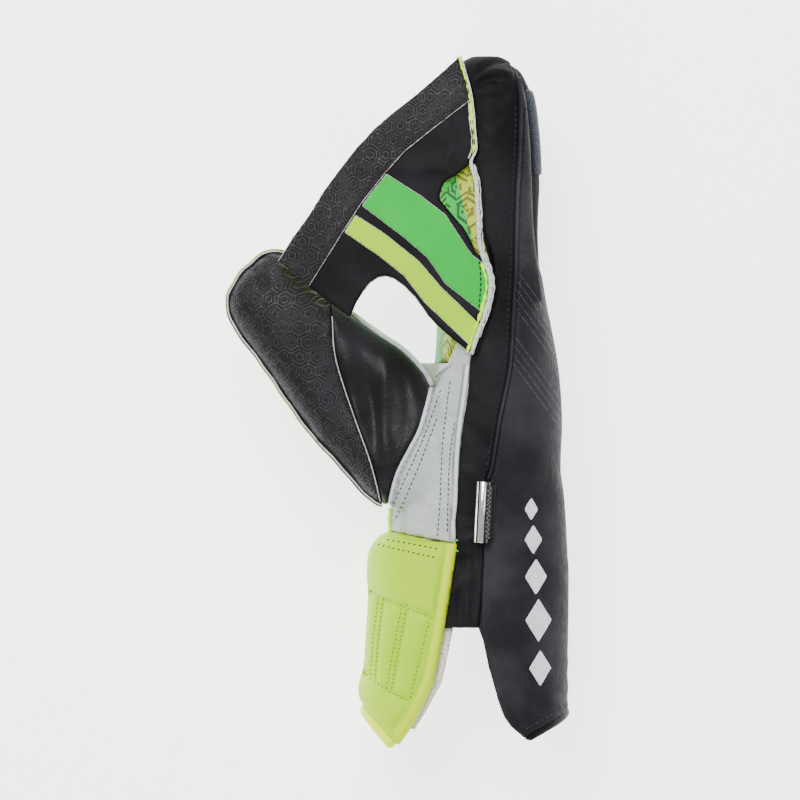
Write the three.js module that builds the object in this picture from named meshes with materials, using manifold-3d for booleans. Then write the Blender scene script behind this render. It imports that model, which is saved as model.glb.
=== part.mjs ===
// A wicketkeeper's glove for the right hand. It lies on its little-finger side, thumb uppermost.
// X runs from the palm to the back of the hand, Y from the cuffs to the fingertips, and Z up.
// All sizes are in millimetres. The wrist line is the zero of Y until the glove is centred at the end.

import * as THREE from 'three';
import { mergeVertices } from 'three/addons/utils/BufferGeometryUtils.js';
import Module from 'manifold-3d';

const wasm = await Module();
wasm.setup();
const { Manifold, Mesh } = wasm;

// The hand
const handLength = 218; // wrist line to the tip of the forefinger
const handDepth = 60; // palm face to back across the knuckles
const handWidth = 110; // little-finger side to forefinger side, before it is pressed flat
const flattened = 2.8; // how far the leather is pressed flat where the glove rests
const palmWall = 5; // rubber facing with its padding
const backWall = 4; // padded leather back
const sideWall = 2.4; // leather strips between palm and back
const restingWall = 2; // the same leather where it is pressed flat
const fit = 0.35; // gap kept between neighbouring pieces

// The fingers
const fingerPitch = 27; // from the middle of one finger to the middle of the next
const fingerWidth = 26.4;
const fingerBase = 105; // wrist line to the root of the fingers
const forefingerLength = 113;
const middleFingerLength = 111;
const ringFingerLength = 102;
const littleFingerLength = 84;
const backStripThickness = 1.2;
const backStripLength = 39;

// The thumb
const thumbReach = 95; // from inside the hand out to the thumb tip, along X
const thumbRise = 92; // the same, along Y
const thumbWidth = 60;
const thumbDepth = 38;
const thumbWall = 3;
const thumbHeight = 87; // middle of the thumb above the surface the glove rests on
const thumbRootX = 26.7;
const thumbRootY = 28.4;
const edgingRadius = 1.4;

// The web between thumb and forefinger
const webReach = 92;
const webRise = 134;
const webCornerX = 36;
const webCornerY = 82;
const webThickness = 2.2;
const webSag = 3;
const facingThickness = 1.2;
const bandThickness = 1.2;
const stripeThickness = 0.8;
const seamEdgeRadius = 1.4;
const weltRadius = 1.1;

// The cuffs
const cuffLength = 99; // wrist line to the lowest corner
const cuffDepth = 98; // palm-side cuff to back cuff, over both
const cuffWidth = 108.8;
const cuffPalmX = -19;
const cuffWall = 8;
const frontPipingRadius = 2.3;
const backPipingRadius = 1.85;
const liningThickness = 2.4;
const liningShows = 3; // width of towelling seen past the edge of the front cuff

// The chrome bar and its loop
const barLength = 28;
const barRadius = 3.5;
const barWall = 0.7;
const loopThickness = 1;
const loopLength = 25;
const loopFoot = 4.5;

// Sections of the hand: along is a share of its length, palm and back of its depth, wide of its width
const handSections = [
  { along: -0.21, palm: -0.1, back: 1.24, wide: 0.945 },
  { along: 0.0, palm: -0.09, back: 1.27, wide: 0.955 },
  { along: 0.09, palm: -0.03, back: 1.25, wide: 0.97 },
  { along: 0.16, palm: 0.06, back: 1.25, wide: 0.985 },
  { along: 0.23, palm: 0.17, back: 1.26, wide: 1.0 },
  { along: 0.32, palm: 0.25, back: 1.24, wide: 1.0 },
  { along: 0.39, palm: 0.28, back: 1.21, wide: 1.0 },
  { along: 0.48, palm: 0.29, back: 1.14, wide: 1.0 },
  { along: 0.55, palm: 0.285, back: 1.095, wide: 0.995 },
  { along: 0.59, palm: 0.36, back: 1.0, wide: 0.93 },
];

// Sections of a finger: up is a share of its length, palm and back of the hand's depth
const fingerSections = [
  { up: 0.0, palm: 0.29, back: 1.1, wide: 0.96 },
  { up: 0.27, palm: 0.275, back: 1.03, wide: 1.0 },
  { up: 0.49, palm: 0.275, back: 1.01, wide: 1.0 },
  { up: 0.66, palm: 0.29, back: 0.995, wide: 1.0 },
  { up: 0.84, palm: 0.34, back: 0.96, wide: 0.95 },
  { up: 0.93, palm: 0.41, back: 0.9, wide: 0.82 },
  { up: 0.975, palm: 0.47, back: 0.85, wide: 0.6 },
  { up: 1.0, palm: 0.55, back: 0.77, wide: 0.3 },
];

// Sections of the thumb: out and up are shares of its reach and rise, wide and deep of its width and
// depth, turn is the slant of the section in degrees, and hollow presses the upper face in
const thumbSections = [
  { out: 0.0, up: 0.0, turn: 66, wide: 0.7, deep: 0.72, hollow: 0 },
  { out: 0.24, up: 0.11, turn: 66, wide: 0.97, deep: 0.95, hollow: 0.04 },
  { out: 0.34, up: 0.215, turn: 58, wide: 0.99, deep: 1.0, hollow: 0.1 },
  { out: 0.458, up: 0.345, turn: 52, wide: 0.963, deep: 1.0, hollow: 0.14 },
  { out: 0.586, up: 0.48, turn: 44, wide: 0.86, deep: 0.97, hollow: 0.1 },
  { out: 0.786, up: 0.7, turn: 38, wide: 0.72, deep: 0.9, hollow: 0.02 },
  { out: 0.897, up: 0.833, turn: 36, wide: 0.68, deep: 0.8, hollow: 0 },
  { out: 0.965, up: 0.95, turn: 37, wide: 0.59, deep: 0.66, hollow: 0 },
  { out: 0.976, up: 1.02, turn: 36, wide: 0.34, deep: 0.42, hollow: 0 },
  { out: 0.96, up: 1.05, turn: 36, wide: 0.12, deep: 0.16, hollow: 0 },
];

// Sections of the cuffs: down is a share of their length, palm and back of their depth
const cuffSections = [
  { down: -0.25, palm: 0.14, back: 0.958 },
  { down: 0.0, palm: 0.122, back: 0.98 },
  { down: 0.05, palm: 0.1, back: 0.984 },
  { down: 0.11, palm: 0.058, back: 0.99 },
  { down: 0.21, palm: 0.045, back: 0.996 },
  { down: 0.3, palm: 0.05, back: 0.996 },
  { down: 0.45, palm: 0.042, back: 0.994 },
  { down: 0.65, palm: 0.028, back: 0.99 },
  { down: 0.76, palm: 0.002, back: 0.99 },
  { down: 0.9, palm: 0.008, back: 1.002 },
  { down: 1.1, palm: 0.01, back: 1.004 },
];

// The two seams that run along each side of the hand, as shares of its length and depth
const sideSeams = [
  { along: 1.05, palm: 0.4, back: 0.85 },
  { along: 0.99, palm: 0.437, back: 0.865 },
  { along: 0.913, palm: 0.552, back: 0.915 },
  { along: 0.84, palm: 0.545, back: 0.917 },
  { along: 0.8, palm: 0.575, back: 0.912 },
  { along: 0.761, palm: 0.535, back: 0.905 },
  { along: 0.729, palm: 0.598, back: 0.9 },
  { along: 0.647, palm: 0.613, back: 0.89 },
  { along: 0.578, palm: 0.69, back: 0.885 },
  { along: 0.523, palm: 0.7, back: 0.877 },
  { along: 0.454, palm: 0.622, back: 0.862 },
  { along: 0.372, palm: 0.537, back: 0.845 },
  { along: 0.284, palm: 0.507, back: 0.8 },
  { along: 0.211, palm: 0.468, back: 0.745 },
  { along: 0.106, palm: 0.441, back: 0.667 },
  { along: 0.0, palm: 0.425, back: 0.633 },
  { along: -0.117, palm: 0.392, back: 0.613 },
  { along: -0.206, palm: 0.33, back: 0.598 },
];

// The line where the thumb leaves the heel of the hand
const thumbLine = [
  { along: 0.385, across: 0.233 },
  { along: 0.304, across: 0.233 },
  { along: 0.218, across: 0.14 },
  { along: 0.171, across: 0.055 },
  { along: 0.117, across: -0.04 },
  { along: 0.05, across: -0.098 },
  { along: -0.06, across: -0.112 },
];

// The border of the embossed thumb pad, as shares of the thumb's reach and rise
const padBorder = [
  { out: 0.64, up: 1.2 },
  { out: 0.61, up: 0.763 },
  { out: 0.596, up: 0.573 },
  { out: 0.552, up: 0.413 },
  { out: 0.484, up: 0.208 },
  { out: 0.431, up: 0.058 },
  { out: 0.392, up: -0.087 },
  { out: 0.35, up: -0.3 },
];
const edgingStations = [0.72, 0.586, 0.458, 0.34, 0.28];

// Outlines of the web's pieces, as shares of its reach and rise
const webOuterEdge = [
  { out: 0.107, up: 1.0 },
  { out: 0.336, up: 0.863 },
  { out: 0.52, up: 0.76 },
  { out: 0.691, up: 0.622 },
  { out: 0.842, up: 0.467 },
  { out: 0.997, up: 0.31 },
];
const webInnerEdge = [
  { out: 0.842, up: 0.222 },
  { out: 0.639, up: 0.117 },
  { out: 0.575, up: 0.204 },
  { out: 0.498, up: 0.253 },
  { out: 0.422, up: 0.249 },
  { out: 0.32, up: 0.187 },
  { out: 0.257, up: 0.126 },
  { out: 0.166, up: 0.064 },
  { out: 0.047, up: 0.0 },
  { out: -0.1, up: 0.0 },
  { out: -0.1, up: 0.45 },
  { out: -0.02, up: 0.95 },
];
const bandInnerEdge = [
  { out: 0.842, up: 0.222 },
  { out: 0.672, up: 0.41 },
  { out: 0.588, up: 0.5 },
  { out: 0.462, up: 0.61 },
  { out: 0.37, up: 0.681 },
  { out: 0.233, up: 0.756 },
  { out: 0.051, up: 0.851 },
  { out: 0.0, up: 0.9 },
];
const greenStripe = [
  { out: 0.461, up: 0.608 },
  { out: 0.281, up: 0.529 },
  { out: 0.166, up: 0.467 },
  { out: 0.076, up: 0.371 },
  { out: -0.06, up: 0.28 },
  { out: -0.06, up: 0.12 },
  { out: 0.006, up: 0.145 },
  { out: 0.166, up: 0.231 },
  { out: 0.256, up: 0.32 },
  { out: 0.371, up: 0.389 },
  { out: 0.581, up: 0.5 },
];
const yellowStripe = [
  { out: 0.611, up: 0.467 },
  { out: 0.471, up: 0.406 },
  { out: 0.296, up: 0.31 },
  { out: 0.191, up: 0.224 },
  { out: 0.016, up: 0.107 },
  { out: -0.06, up: 0.05 },
  { out: -0.06, up: -0.02 },
  { out: 0.051, up: 0.025 },
  { out: 0.271, up: 0.169 },
  { out: 0.371, up: 0.258 },
  { out: 0.496, up: 0.327 },
  { out: 0.671, up: 0.409 },
];
const webOpening = [
  { out: 0.03, up: 0.645 },
  { out: 0.056, up: 0.632 },
  { out: 0.116, up: 0.598 },
  { out: 0.166, up: 0.581 },
  { out: 0.191, up: 0.546 },
  { out: 0.166, up: 0.495 },
  { out: 0.076, up: 0.423 },
  { out: 0.035, up: 0.375 },
];

// Outlines of the cuffs below the wrist, as shares of their depth and length
const frontCuffEdge = [
  { across: 0.387, down: 0.518 },
  { across: 0.347, down: 0.702 },
  { across: 0.282, down: 0.838 },
  { across: 0.194, down: 0.96 },
];
const frontHemSlope = -0.763;
const backCuffEdge = [
  { across: 0.598, down: 0.561 },
  { across: 0.653, down: 0.788 },
  { across: 0.714, down: 0.9 },
  { across: 0.781, down: 0.955 },
];
const backHemSlope = 0.5;
const cuffTopSlope = -0.153;

// A signed power, which gives a section its squareness
function squared(value, exponent) {
  return Math.sign(value) * Math.abs(value) ** (2 / exponent);
}

function solid(geometry) {
  geometry.deleteAttribute('normal');
  geometry.deleteAttribute('uv');
  const merged = mergeVertices(geometry, 1e-4);
  const vertProperties = merged.attributes.position.array;
  const triVerts = new Uint32Array(merged.index.array);
  const body = new Manifold(new Mesh({ numProp: 3, vertProperties, triVerts }));
  if (body.volume() > 0) return body;
  // Rings that run downwards or to the left give faces that point in, which this turns round
  triVerts.reverse();
  return new Manifold(new Mesh({ numProp: 3, vertProperties, triVerts }));
}

// Joins closed rings of points into one closed body
function loft(rings) {
  const sides = rings[0].length;
  const points = rings.flat();
  const index = [];
  for (let r = 0; r < rings.length - 1; r++) {
    for (let s = 0; s < sides; s++) {
      const a = r * sides + s;
      const b = r * sides + ((s + 1) % sides);
      index.push(a, b, a + sides, b, b + sides, a + sides);
    }
  }
  for (let s = 1; s < sides - 1; s++) {
    const last = points.length - sides;
    index.push(0, s + 1, s, last, last + s, last + s + 1);
  }
  const geometry = new THREE.BufferGeometry().setFromPoints(points);
  geometry.setIndex(index);
  return solid(geometry);
}

// A rounded section across Y, between a palm face, a back face and two sides
function crossSection(y, palm, back, middle, halfWidth, squareness, sides) {
  const ring = [];
  for (let s = 0; s < sides; s++) {
    const angle = (2 * Math.PI * (s + 0.5)) / sides;
    ring.push(
      new THREE.Vector3(
        (palm + back) / 2 + ((back - palm) / 2) * squared(Math.cos(angle), squareness),
        y,
        middle + halfWidth * squared(Math.sin(angle), squareness),
      ),
    );
  }
  return ring;
}

// An upright block over an outline seen from above
function prism(outline, low = -20, high = 140) {
  const shape = new THREE.Shape(outline.map(([x, y]) => new THREE.Vector2(x, y)));
  const geometry = new THREE.ExtrudeGeometry(shape, { depth: high - low, bevelEnabled: false });
  return solid(geometry.translate(0, 0, low));
}

// Wide enough to cut right across the glove
const acrossAll = 600;

function slab(low, high) {
  const block = new THREE.BoxGeometry(acrossAll, acrossAll, high - low);
  return solid(block.translate(0, 0, (low + high) / 2));
}

function largestBody(body) {
  const bodies = body.decompose().sort((a, b) => b.volume() - a.volume());
  return bodies[0];
}

function pipe(points, radius, steps, sides = 6) {
  const shape = new THREE.Shape();
  for (let s = 0; s < sides; s++) {
    const angle = (2 * Math.PI * s) / sides;
    const corner = [radius * Math.cos(angle), radius * Math.sin(angle)];
    if (s === 0) shape.moveTo(...corner);
    else shape.lineTo(...corner);
  }
  const path = new THREE.CatmullRomCurve3(points);
  const geometry = new THREE.ExtrudeGeometry(shape, { steps, extrudePath: path, bevelEnabled: false });
  return solid(geometry);
}

// The height of a rounded section's upper side above its middle, as a share of its half width
function crown(x, palm, back, squareness) {
  const off = Math.min(1, Math.abs((2 * x - palm - back) / (back - palm)));
  return (1 - off ** squareness) ** (1 / squareness);
}

function readTable(table, key, column, at) {
  const rows = [...table].sort((a, b) => a[key] - b[key]);
  const next = rows.findIndex((row) => row[key] >= at);
  if (next === 0) return rows[0][column];
  if (next < 0) return rows[rows.length - 1][column];
  const before = rows[next - 1];
  const after = rows[next];
  const share = (at - before[key]) / (after[key] - before[key]);
  return before[column] + share * (after[column] - before[column]);
}

// The body of the hand
const handSquareness = 2.6;
const handMiddle = handWidth / 2 - flattened;
const handSides = 24;

function handBody(palmInset, backInset, sideInset, openEnd) {
  const rings = handSections.map((row, index) => {
    const beyond = openEnd && index === 0 ? 20 : 0;
    const endInset = index === handSections.length - 1 ? sideInset : 0;
    return crossSection(
      row.along * handLength - beyond - endInset,
      row.palm * handDepth + palmInset,
      row.back * handDepth - backInset,
      handMiddle,
      (row.wide * handWidth) / 2 - sideInset,
      handSquareness,
      handSides,
    );
  });
  return loft(rings);
}

// The fingers, from the forefinger down to the little finger
const fingerSquareness = 2.5;
const fingerSides = 12;
const forefingerMiddle = handWidth - flattened - fingerWidth / 2;
const fingers = [
  { length: forefingerLength, padded: 0 },
  { length: middleFingerLength, padded: 0.075 },
  { length: ringFingerLength, padded: 0.07 },
  { length: littleFingerLength, padded: 0.03 },
].map((finger, order) => ({ ...finger, middle: forefingerMiddle - order * fingerPitch }));

function fingerBody(finger, palmInset, backInset, sideInset) {
  const rows = fingerSections.filter((row) => (row.wide * fingerWidth) / 2 - sideInset > 4 || sideInset <= 0);
  const rings = rows.map((row, index) => {
    const endInset = index === rows.length - 1 && rows.length < fingerSections.length ? sideInset : 0;
    const rootInset = index === 0 && sideInset > 0 ? -6 : 0;
    return crossSection(
      fingerBase + row.up * finger.length - endInset + rootInset,
      row.palm * handDepth + palmInset,
      (row.back + finger.padded * Math.min(1, row.up * 2)) * handDepth - backInset,
      finger.middle,
      (row.wide * fingerWidth) / 2 - sideInset,
      fingerSquareness,
      fingerSides,
    );
  });
  return loft(rings);
}

// The thumb
const thumbSquareness = 2.4;
const thumbSides = 18;

function thumbPoint(row) {
  return [thumbRootX - row.out * thumbReach, thumbRootY + row.up * thumbRise];
}

function thumbBody(inset) {
  const inner = inset > 0;
  const rows = thumbSections.filter((row) => (row.deep * thumbDepth) / 2 - inset > 5 || !inner);
  const rings = rows.map((row) => {
    const slant = THREE.MathUtils.degToRad(row.turn);
    const halfWidth = (row.wide * thumbWidth) / 2 - inset;
    const halfDepth = (row.deep * thumbDepth) / 2 - inset;
    const [x, y] = thumbPoint(row);
    const ring = [];
    for (let s = 0; s < thumbSides; s++) {
      const angle = (2 * Math.PI * (s + 0.5)) / thumbSides;
      const sideways = squared(Math.cos(angle), thumbSquareness);
      const upward = squared(Math.sin(angle), thumbSquareness);
      const pressed = upward > 0 ? row.hollow * thumbDepth * Math.exp(-((sideways * 2) ** 2)) : 0;
      ring.push(
        new THREE.Vector3(
          x + halfWidth * sideways * Math.cos(slant),
          y + halfWidth * sideways * Math.sin(slant),
          thumbHeight + halfDepth * upward - pressed,
        ),
      );
    }
    return ring;
  });
  return loft(rings);
}

// The leather shell of hand, fingers and thumb, open at the wrist
const floorBlock = slab(-60, 0);
let outer = handBody(0, 0, 0, false);
let inner = handBody(palmWall, backWall, sideWall, true);
for (const finger of fingers) {
  outer = outer.add(fingerBody(finger, 0, 0, 0));
  inner = inner.add(fingerBody(finger, palmWall, backWall, sideWall));
}
outer = outer.add(thumbBody(0)).subtract(floorBlock);
inner = inner.add(thumbBody(thumbWall)).subtract(slab(-60, restingWall));
const shell = outer.subtract(inner);

// Regions seen from above, which part the shell along its seams
const farPalm = -200;
const farBack = 200;
const farUp = 300;

function seamPoints(column, shift) {
  return sideSeams.map((row) => [row[column] * handDepth + shift, row.along * handLength]);
}

function palmRegion(shift) {
  const seam = seamPoints('palm', shift);
  return prism([[farPalm, seam[0][1]], [farPalm, seam.at(-1)[1]], ...seam.reverse()]);
}

function backRegion(shift) {
  const seam = seamPoints('back', shift);
  return prism([[farBack, seam.at(-1)[1]], [farBack, seam[0][1]], ...seam]);
}

const gussetRegion = prism([
  ...seamPoints('palm', fit / 2),
  ...seamPoints('back', -fit / 2).reverse(),
]);

// The slanted line where the heel laps the front cuff
function cuffTop(x) {
  return cuffTopSlope * (x - cuffPalmX) + 1.5;
}

const aboveFrontCuff = prism([
  [farPalm, cuffTop(farPalm)],
  [farBack, cuffTop(farBack)],
  [farBack, farUp],
  [farPalm, farUp],
]);

const thumbLinePoints = thumbLine.map((row) => [row.across * handDepth, row.along * handLength]);

function thumbRegion(shift) {
  const line = thumbLinePoints.map(([x, y]) => [x + shift, y]);
  const [topX] = line[0];
  return prism([[topX, farUp], [farPalm, farUp], [farPalm, line.at(-1)[1]], ...line.reverse()]);
}

const heelTop = 77;
const heelSide = 58; // the suede heel wraps down the palm to this height
const heelRegion = prism([[farPalm, -60], [farBack, -60], [farBack, heelTop], [farPalm, heelTop]], heelSide);
const heelGapRegion = prism(
  [[farPalm, -60], [farBack, -60], [farBack, heelTop + fit], [farPalm, heelTop + fit]],
  heelSide - fit,
);

const palmShell = shell
  .intersect(palmRegion(-fit / 2))
  .subtract(thumbRegion(fit / 2))
  .intersect(aboveFrontCuff);
const palmFacing = largestBody(palmShell.subtract(heelGapRegion));
const suedeHeel = largestBody(palmShell.intersect(heelRegion));

// The back of the glove ends where the back cuff begins
const backCuffTop = 23.1;
const aboveBackCuff = prism([
  [farPalm, backCuffTop],
  [farBack, backCuffTop],
  [farBack, farUp],
  [farPalm, farUp],
]);
const backPanel = largestBody(shell.intersect(backRegion(fit / 2)).intersect(aboveBackCuff));

// The side strips, parted over each fingertip
const sideShell = shell.intersect(gussetRegion);
const fingerMiddles = fingers.map((finger) => finger.middle);
const stripHeights = [200, ...fingerMiddles, -20];
const sideStrips = [];
for (let strip = 0; strip < stripHeights.length - 1; strip++) {
  const high = stripHeights[strip] - fit / 2;
  const low = stripHeights[strip + 1] + fit / 2;
  sideStrips.push(largestBody(sideShell.intersect(slab(low, high))));
}

// The thumb's pieces: rubber below, leather and an embossed pad above
const thumbSeamHeight = thumbHeight - 4;
const thumbShell = shell.intersect(thumbRegion(-fit / 2));
const padLine = padBorder.map(thumbPoint);

function padRegion(shift) {
  const line = padLine.map(([x, y]) => [x + shift, y]);
  return prism([[farPalm, line[0][1]], [farPalm, line.at(-1)[1]], ...line.reverse()]);
}

const thumbUpper = thumbShell.intersect(slab(thumbSeamHeight + fit / 2, 200));
const thumbFacing = largestBody(thumbShell.intersect(slab(-20, thumbSeamHeight - fit / 2)));
const thumbPad = largestBody(thumbUpper.intersect(padRegion(-fit / 2)));
const thumbBack = largestBody(thumbUpper.subtract(padRegion(fit / 2)));

// The upper side of hand and forefinger at a place seen from above
function sideHeight(x, y) {
  const along = y / handLength;
  const up = (y - fingerBase) / forefingerLength;
  const hand =
    handMiddle +
    ((readTable(handSections, 'along', 'wide', along) * handWidth) / 2) *
      crown(
        x,
        readTable(handSections, 'along', 'palm', along) * handDepth,
        readTable(handSections, 'along', 'back', along) * handDepth,
        handSquareness,
      );
  const finger =
    forefingerMiddle +
    ((readTable(fingerSections, 'up', 'wide', up) * fingerWidth) / 2) *
      crown(
        x,
        readTable(fingerSections, 'up', 'palm', up) * handDepth,
        readTable(fingerSections, 'up', 'back', up) * handDepth,
        fingerSquareness,
      );
  if (along > handSections.at(-1).along) return finger;
  return up > 0 ? Math.max(hand, finger) : hand;
}

// The web: a curved sheet that hangs from the forefinger's seam to over the thumb
function seamAt(column, y) {
  return readTable(sideSeams, 'along', column, y / handLength) * handDepth;
}

const webSeat = handWidth - flattened + fit;
const webThumbDrop = 3.2;
const webTipDrop = 4;
const webTipStart = 0.86;
const webShoulder = 0.12; // share of the web that lies level on the forefinger

function webHeight(x, y) {
  const beyond = (seamAt('palm', y) - x) / webReach - webShoulder;
  const out = THREE.MathUtils.clamp(beyond / (1 - webShoulder), 0, 1);
  const tip = THREE.MathUtils.smoothstep((y - webCornerY) / webRise, webTipStart, 1.02);
  return webSeat - webThumbDrop * out - webSag * 4 * out * (1 - out) - webTipDrop * tip;
}

const webRows = [-0.1, 0.05, 0.16, 0.24, 0.32, 0.45, 0.6, 0.75, 0.86, 0.93, 1.02, 1.1];
const webColumns = [-0.2, 0.12, 0.2, 0.35, 0.55, 0.75, 1.1];

function webSheet(lift, thickness) {
  const rings = [];
  for (const up of webRows) {
    const y = webCornerY + up * webRise;
    const below = [];
    const above = [];
    for (const out of webColumns) {
      const x = seamAt('palm', y) - out * webReach;
      const z = webHeight(x, y) + lift;
      below.push(new THREE.Vector3(x, y, z));
      above.push(new THREE.Vector3(x, y, z + thickness));
    }
    rings.push([...below.reverse(), ...above]);
  }
  return loft(rings);
}

function webOutline(rows) {
  return rows.map((row) => [webCornerX - row.out * webReach, webCornerY + row.up * webRise]);
}

const besideSeamEdge = palmRegion(-2 * seamEdgeRadius - fit);
const webHole = prism(webOutline([...webOpening, { out: -0.2, up: 0.375 }, { out: -0.2, up: 0.645 }]));
const webShape = prism(webOutline([...webOuterEdge, ...webInnerEdge])).intersect(besideSeamEdge);
const bandShape = prism(webOutline([...webOuterEdge, ...[...bandInnerEdge]]));
const bandGapShape = prism(
  webOutline([...webOuterEdge, ...bandInnerEdge]).map(([x, y]) => [x + fit, y - fit]),
);

const webBase = facingThickness + fit;
const webTop = webBase + webThickness + fit;
const webFacing = largestBody(
  webSheet(0, facingThickness).intersect(webShape).subtract(webHole),
);
const web = largestBody(webSheet(webBase, webThickness).intersect(webShape).subtract(webHole));
const webBand = largestBody(
  webSheet(webTop, bandThickness).intersect(bandShape).intersect(webShape),
);

function webStripe(rows) {
  const outline = prism(webOutline(rows));
  const sheet = webSheet(webTop, stripeThickness).intersect(outline).intersect(webShape);
  return largestBody(sheet.subtract(bandGapShape).subtract(webHole));
}

// The laminated edge where web, palm and side strip are sewn together
function alongSeam(column, from, to, radius, lift) {
  const points = [];
  const steps = 14;
  for (let step = 0; step <= steps; step++) {
    const y = (from + ((to - from) * step) / steps) * handLength;
    const x = seamAt(column, y);
    const seat = Math.max(lift(x - radius, y), lift(x, y), lift(x + radius, y));
    points.push(new THREE.Vector3(x, y, seat + fit + radius));
  }
  return pipe(points, radius, steps * 2);
}

const seamEdge = pipe(
  sideSeams
    .filter((row) => row.along > 0.36 && row.along < 1)
    .map((row) => {
      const x = row.palm * handDepth - seamEdgeRadius;
      const y = row.along * handLength;
      return new THREE.Vector3(x, y, webHeight(x, y) + fit + seamEdgeRadius);
    }),
  seamEdgeRadius,
  26,
);
const backWelt = alongSeam('back', 0.12, 0.955, weltRadius, sideHeight);

// The thin grey edging along the upper side of the thumb
const thumbEdging = pipe(
  edgingStations.map((out) => {
    const [x, y] = thumbPoint({ out, up: readTable(thumbSections.slice(0, 7), 'out', 'up', out) });
    const slant = THREE.MathUtils.degToRad(readTable(thumbSections.slice(0, 7), 'out', 'turn', out));
    const wide = readTable(thumbSections.slice(0, 7), 'out', 'wide', out) * thumbWidth;
    const off = wide / 2 + fit + edgingRadius;
    return new THREE.Vector3(x + off * Math.cos(slant), y + off * Math.sin(slant), thumbHeight);
  }),
  edgingRadius,
  10,
);

// A blue-grey strip down the back of the middle finger
const middleFinger = fingers[1];
const stripLow = fingerBase + 0.53 * forefingerLength;
const backStrip = largestBody(
  fingerBody(middleFinger, -backStripThickness - fit, -backStripThickness - fit, -backStripThickness - fit)
    .subtract(fingerBody(middleFinger, -fit, -fit, -fit))
    .intersect(
      prism(
        [
          [handDepth * 0.9, stripLow],
          [farBack, stripLow],
          [farBack, stripLow + backStripLength],
          [handDepth * 0.9, stripLow + backStripLength],
        ],
        middleFinger.middle - fingerWidth * 0.42,
        middleFinger.middle + fingerWidth * 0.42,
      ),
    ),
);

// The cuffs: one rounded tube, of which the front and the back cuff each keep a part
const cuffSquareness = 3;
const cuffSides = 24;
const cuffMiddle = cuffWidth / 2 - flattened;

function cuffBody(inset) {
  const rings = cuffSections.map((row) =>
    crossSection(
      -row.down * cuffLength,
      cuffPalmX + row.palm * cuffDepth + inset,
      cuffPalmX + row.back * cuffDepth - inset,
      cuffMiddle,
      cuffWidth / 2 - inset,
      cuffSquareness,
      cuffSides,
    ),
  );
  return loft(rings);
}

function cuffPoint(row) {
  return [cuffPalmX + row.across * cuffDepth, -row.down * cuffLength];
}

const cuffTube = cuffBody(0).subtract(floorBlock);
const cuffHollow = cuffBody(cuffWall);

// Outline of the front cuff from its top line down the seam and round the slanted hem
const belowWrist = sideSeams.filter((row) => row.along < 0);

function frontCuffRegion(shift) {
  const seam = belowWrist.map((row) => [row.palm * handDepth - fit / 2 + shift, row.along * handLength]);
  const start = seamAt('palm', cuffTop(seamAt('palm', 0))) - fit / 2 + shift;
  const edge = frontCuffEdge.map(cuffPoint).map(([x, y]) => [x + shift, y]);
  const [cornerX, cornerY] = edge.at(-1);
  const farX = cuffPalmX - 30;
  return prism([
    [farX, cuffTop(farX) - fit],
    [farX, cornerY + frontHemSlope * (farX - cornerX)],
    ...edge.reverse(),
    ...seam.reverse(),
    [start, cuffTop(start) - fit],
  ]);
}

const frontCuff = largestBody(cuffTube.subtract(cuffHollow).intersect(frontCuffRegion(0)));

const backCuffOutline = [
  ...sideSeams
    .filter((row) => row.along < backCuffTop / handLength)
    .map((row) => [row.back * handDepth + fit / 2, row.along * handLength]),
  ...backCuffEdge.map(cuffPoint),
];
const [backCornerX, backCornerY] = backCuffOutline.at(-1);
const backSeamAtTop = seamAt('back', backCuffTop) + fit / 2;
const backCuff = largestBody(
  cuffTube.subtract(cuffHollow).intersect(
    prism([
      [backSeamAtTop, backCuffTop - fit],
      ...backCuffOutline,
      [farBack, backCornerY + backHemSlope * (farBack - backCornerX)],
      [farBack, backCuffTop - fit],
    ]),
  ),
);

// Towelling inside the front cuff, seen past its edge
const liningTop = -43;
const liningRegion = frontCuffRegion(liningShows).intersect(
  prism([
    [farPalm, -cuffLength * 0.93],
    [farBack, -cuffLength * 0.93],
    [farBack, liningTop],
    [farPalm, liningTop],
  ]),
);
const cuffLining = largestBody(
  cuffBody(cuffWall + fit)
    .subtract(cuffBody(cuffWall + fit + liningThickness))
    .intersect(liningRegion),
);

// Rolled piping along each hem, which follows the middle of the cuff's wall
function hemPiping(radius, corner, slope, towardsPalm) {
  const points = [];
  const steps = 22;
  const [cornerX, cornerY] = corner;
  const half = cuffDepth / 2 - cuffWall / 2;
  const centre = cuffPalmX + cuffDepth / 2;
  const direction = towardsPalm ? -1 : 1;
  const start = (cornerX - centre) * direction;
  const drop = (radius + fit) * Math.hypot(1, slope);
  for (let step = 0; step <= steps; step++) {
    const turn = Math.PI * (0.5 - step / steps);
    const out = half * squared(Math.cos(turn), cuffSquareness);
    if (out >= start) {
      const x = centre + direction * out;
      const z = cuffMiddle + (cuffWidth / 2 - cuffWall / 2) * squared(Math.sin(turn), cuffSquareness);
      points.push(new THREE.Vector3(x, cornerY + slope * (x - cornerX) - drop, z));
    }
  }
  return pipe(points, radius, 20);
}

const frontPiping = hemPiping(
  frontPipingRadius,
  cuffPoint(frontCuffEdge.at(-1)),
  frontHemSlope,
  true,
);
const backPiping = hemPiping(backPipingRadius, cuffPoint(backCuffEdge.at(-1)), backHemSlope, false);

// The bright bar on the edge of the back cuff, a tube with one closed end
const barX = seamAt('back', 0) - 0.6;
const barY = 9;
const barZ = cuffWidth - flattened + fit + barRadius;
const barTilt = -0.05;
const barProfile = [
  [0, barLength / 2],
  [barRadius, barLength / 2],
  [barRadius, -barLength / 2],
  [barRadius - barWall, -barLength / 2],
  [barRadius - barWall, barLength / 2 - barWall * 2],
  [0, barLength / 2 - barWall * 2],
];

function barGeometry() {
  const points = barProfile.map(([radius, height]) => new THREE.Vector2(radius, height)).reverse();
  return new THREE.LatheGeometry(points, 16);
}

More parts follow.
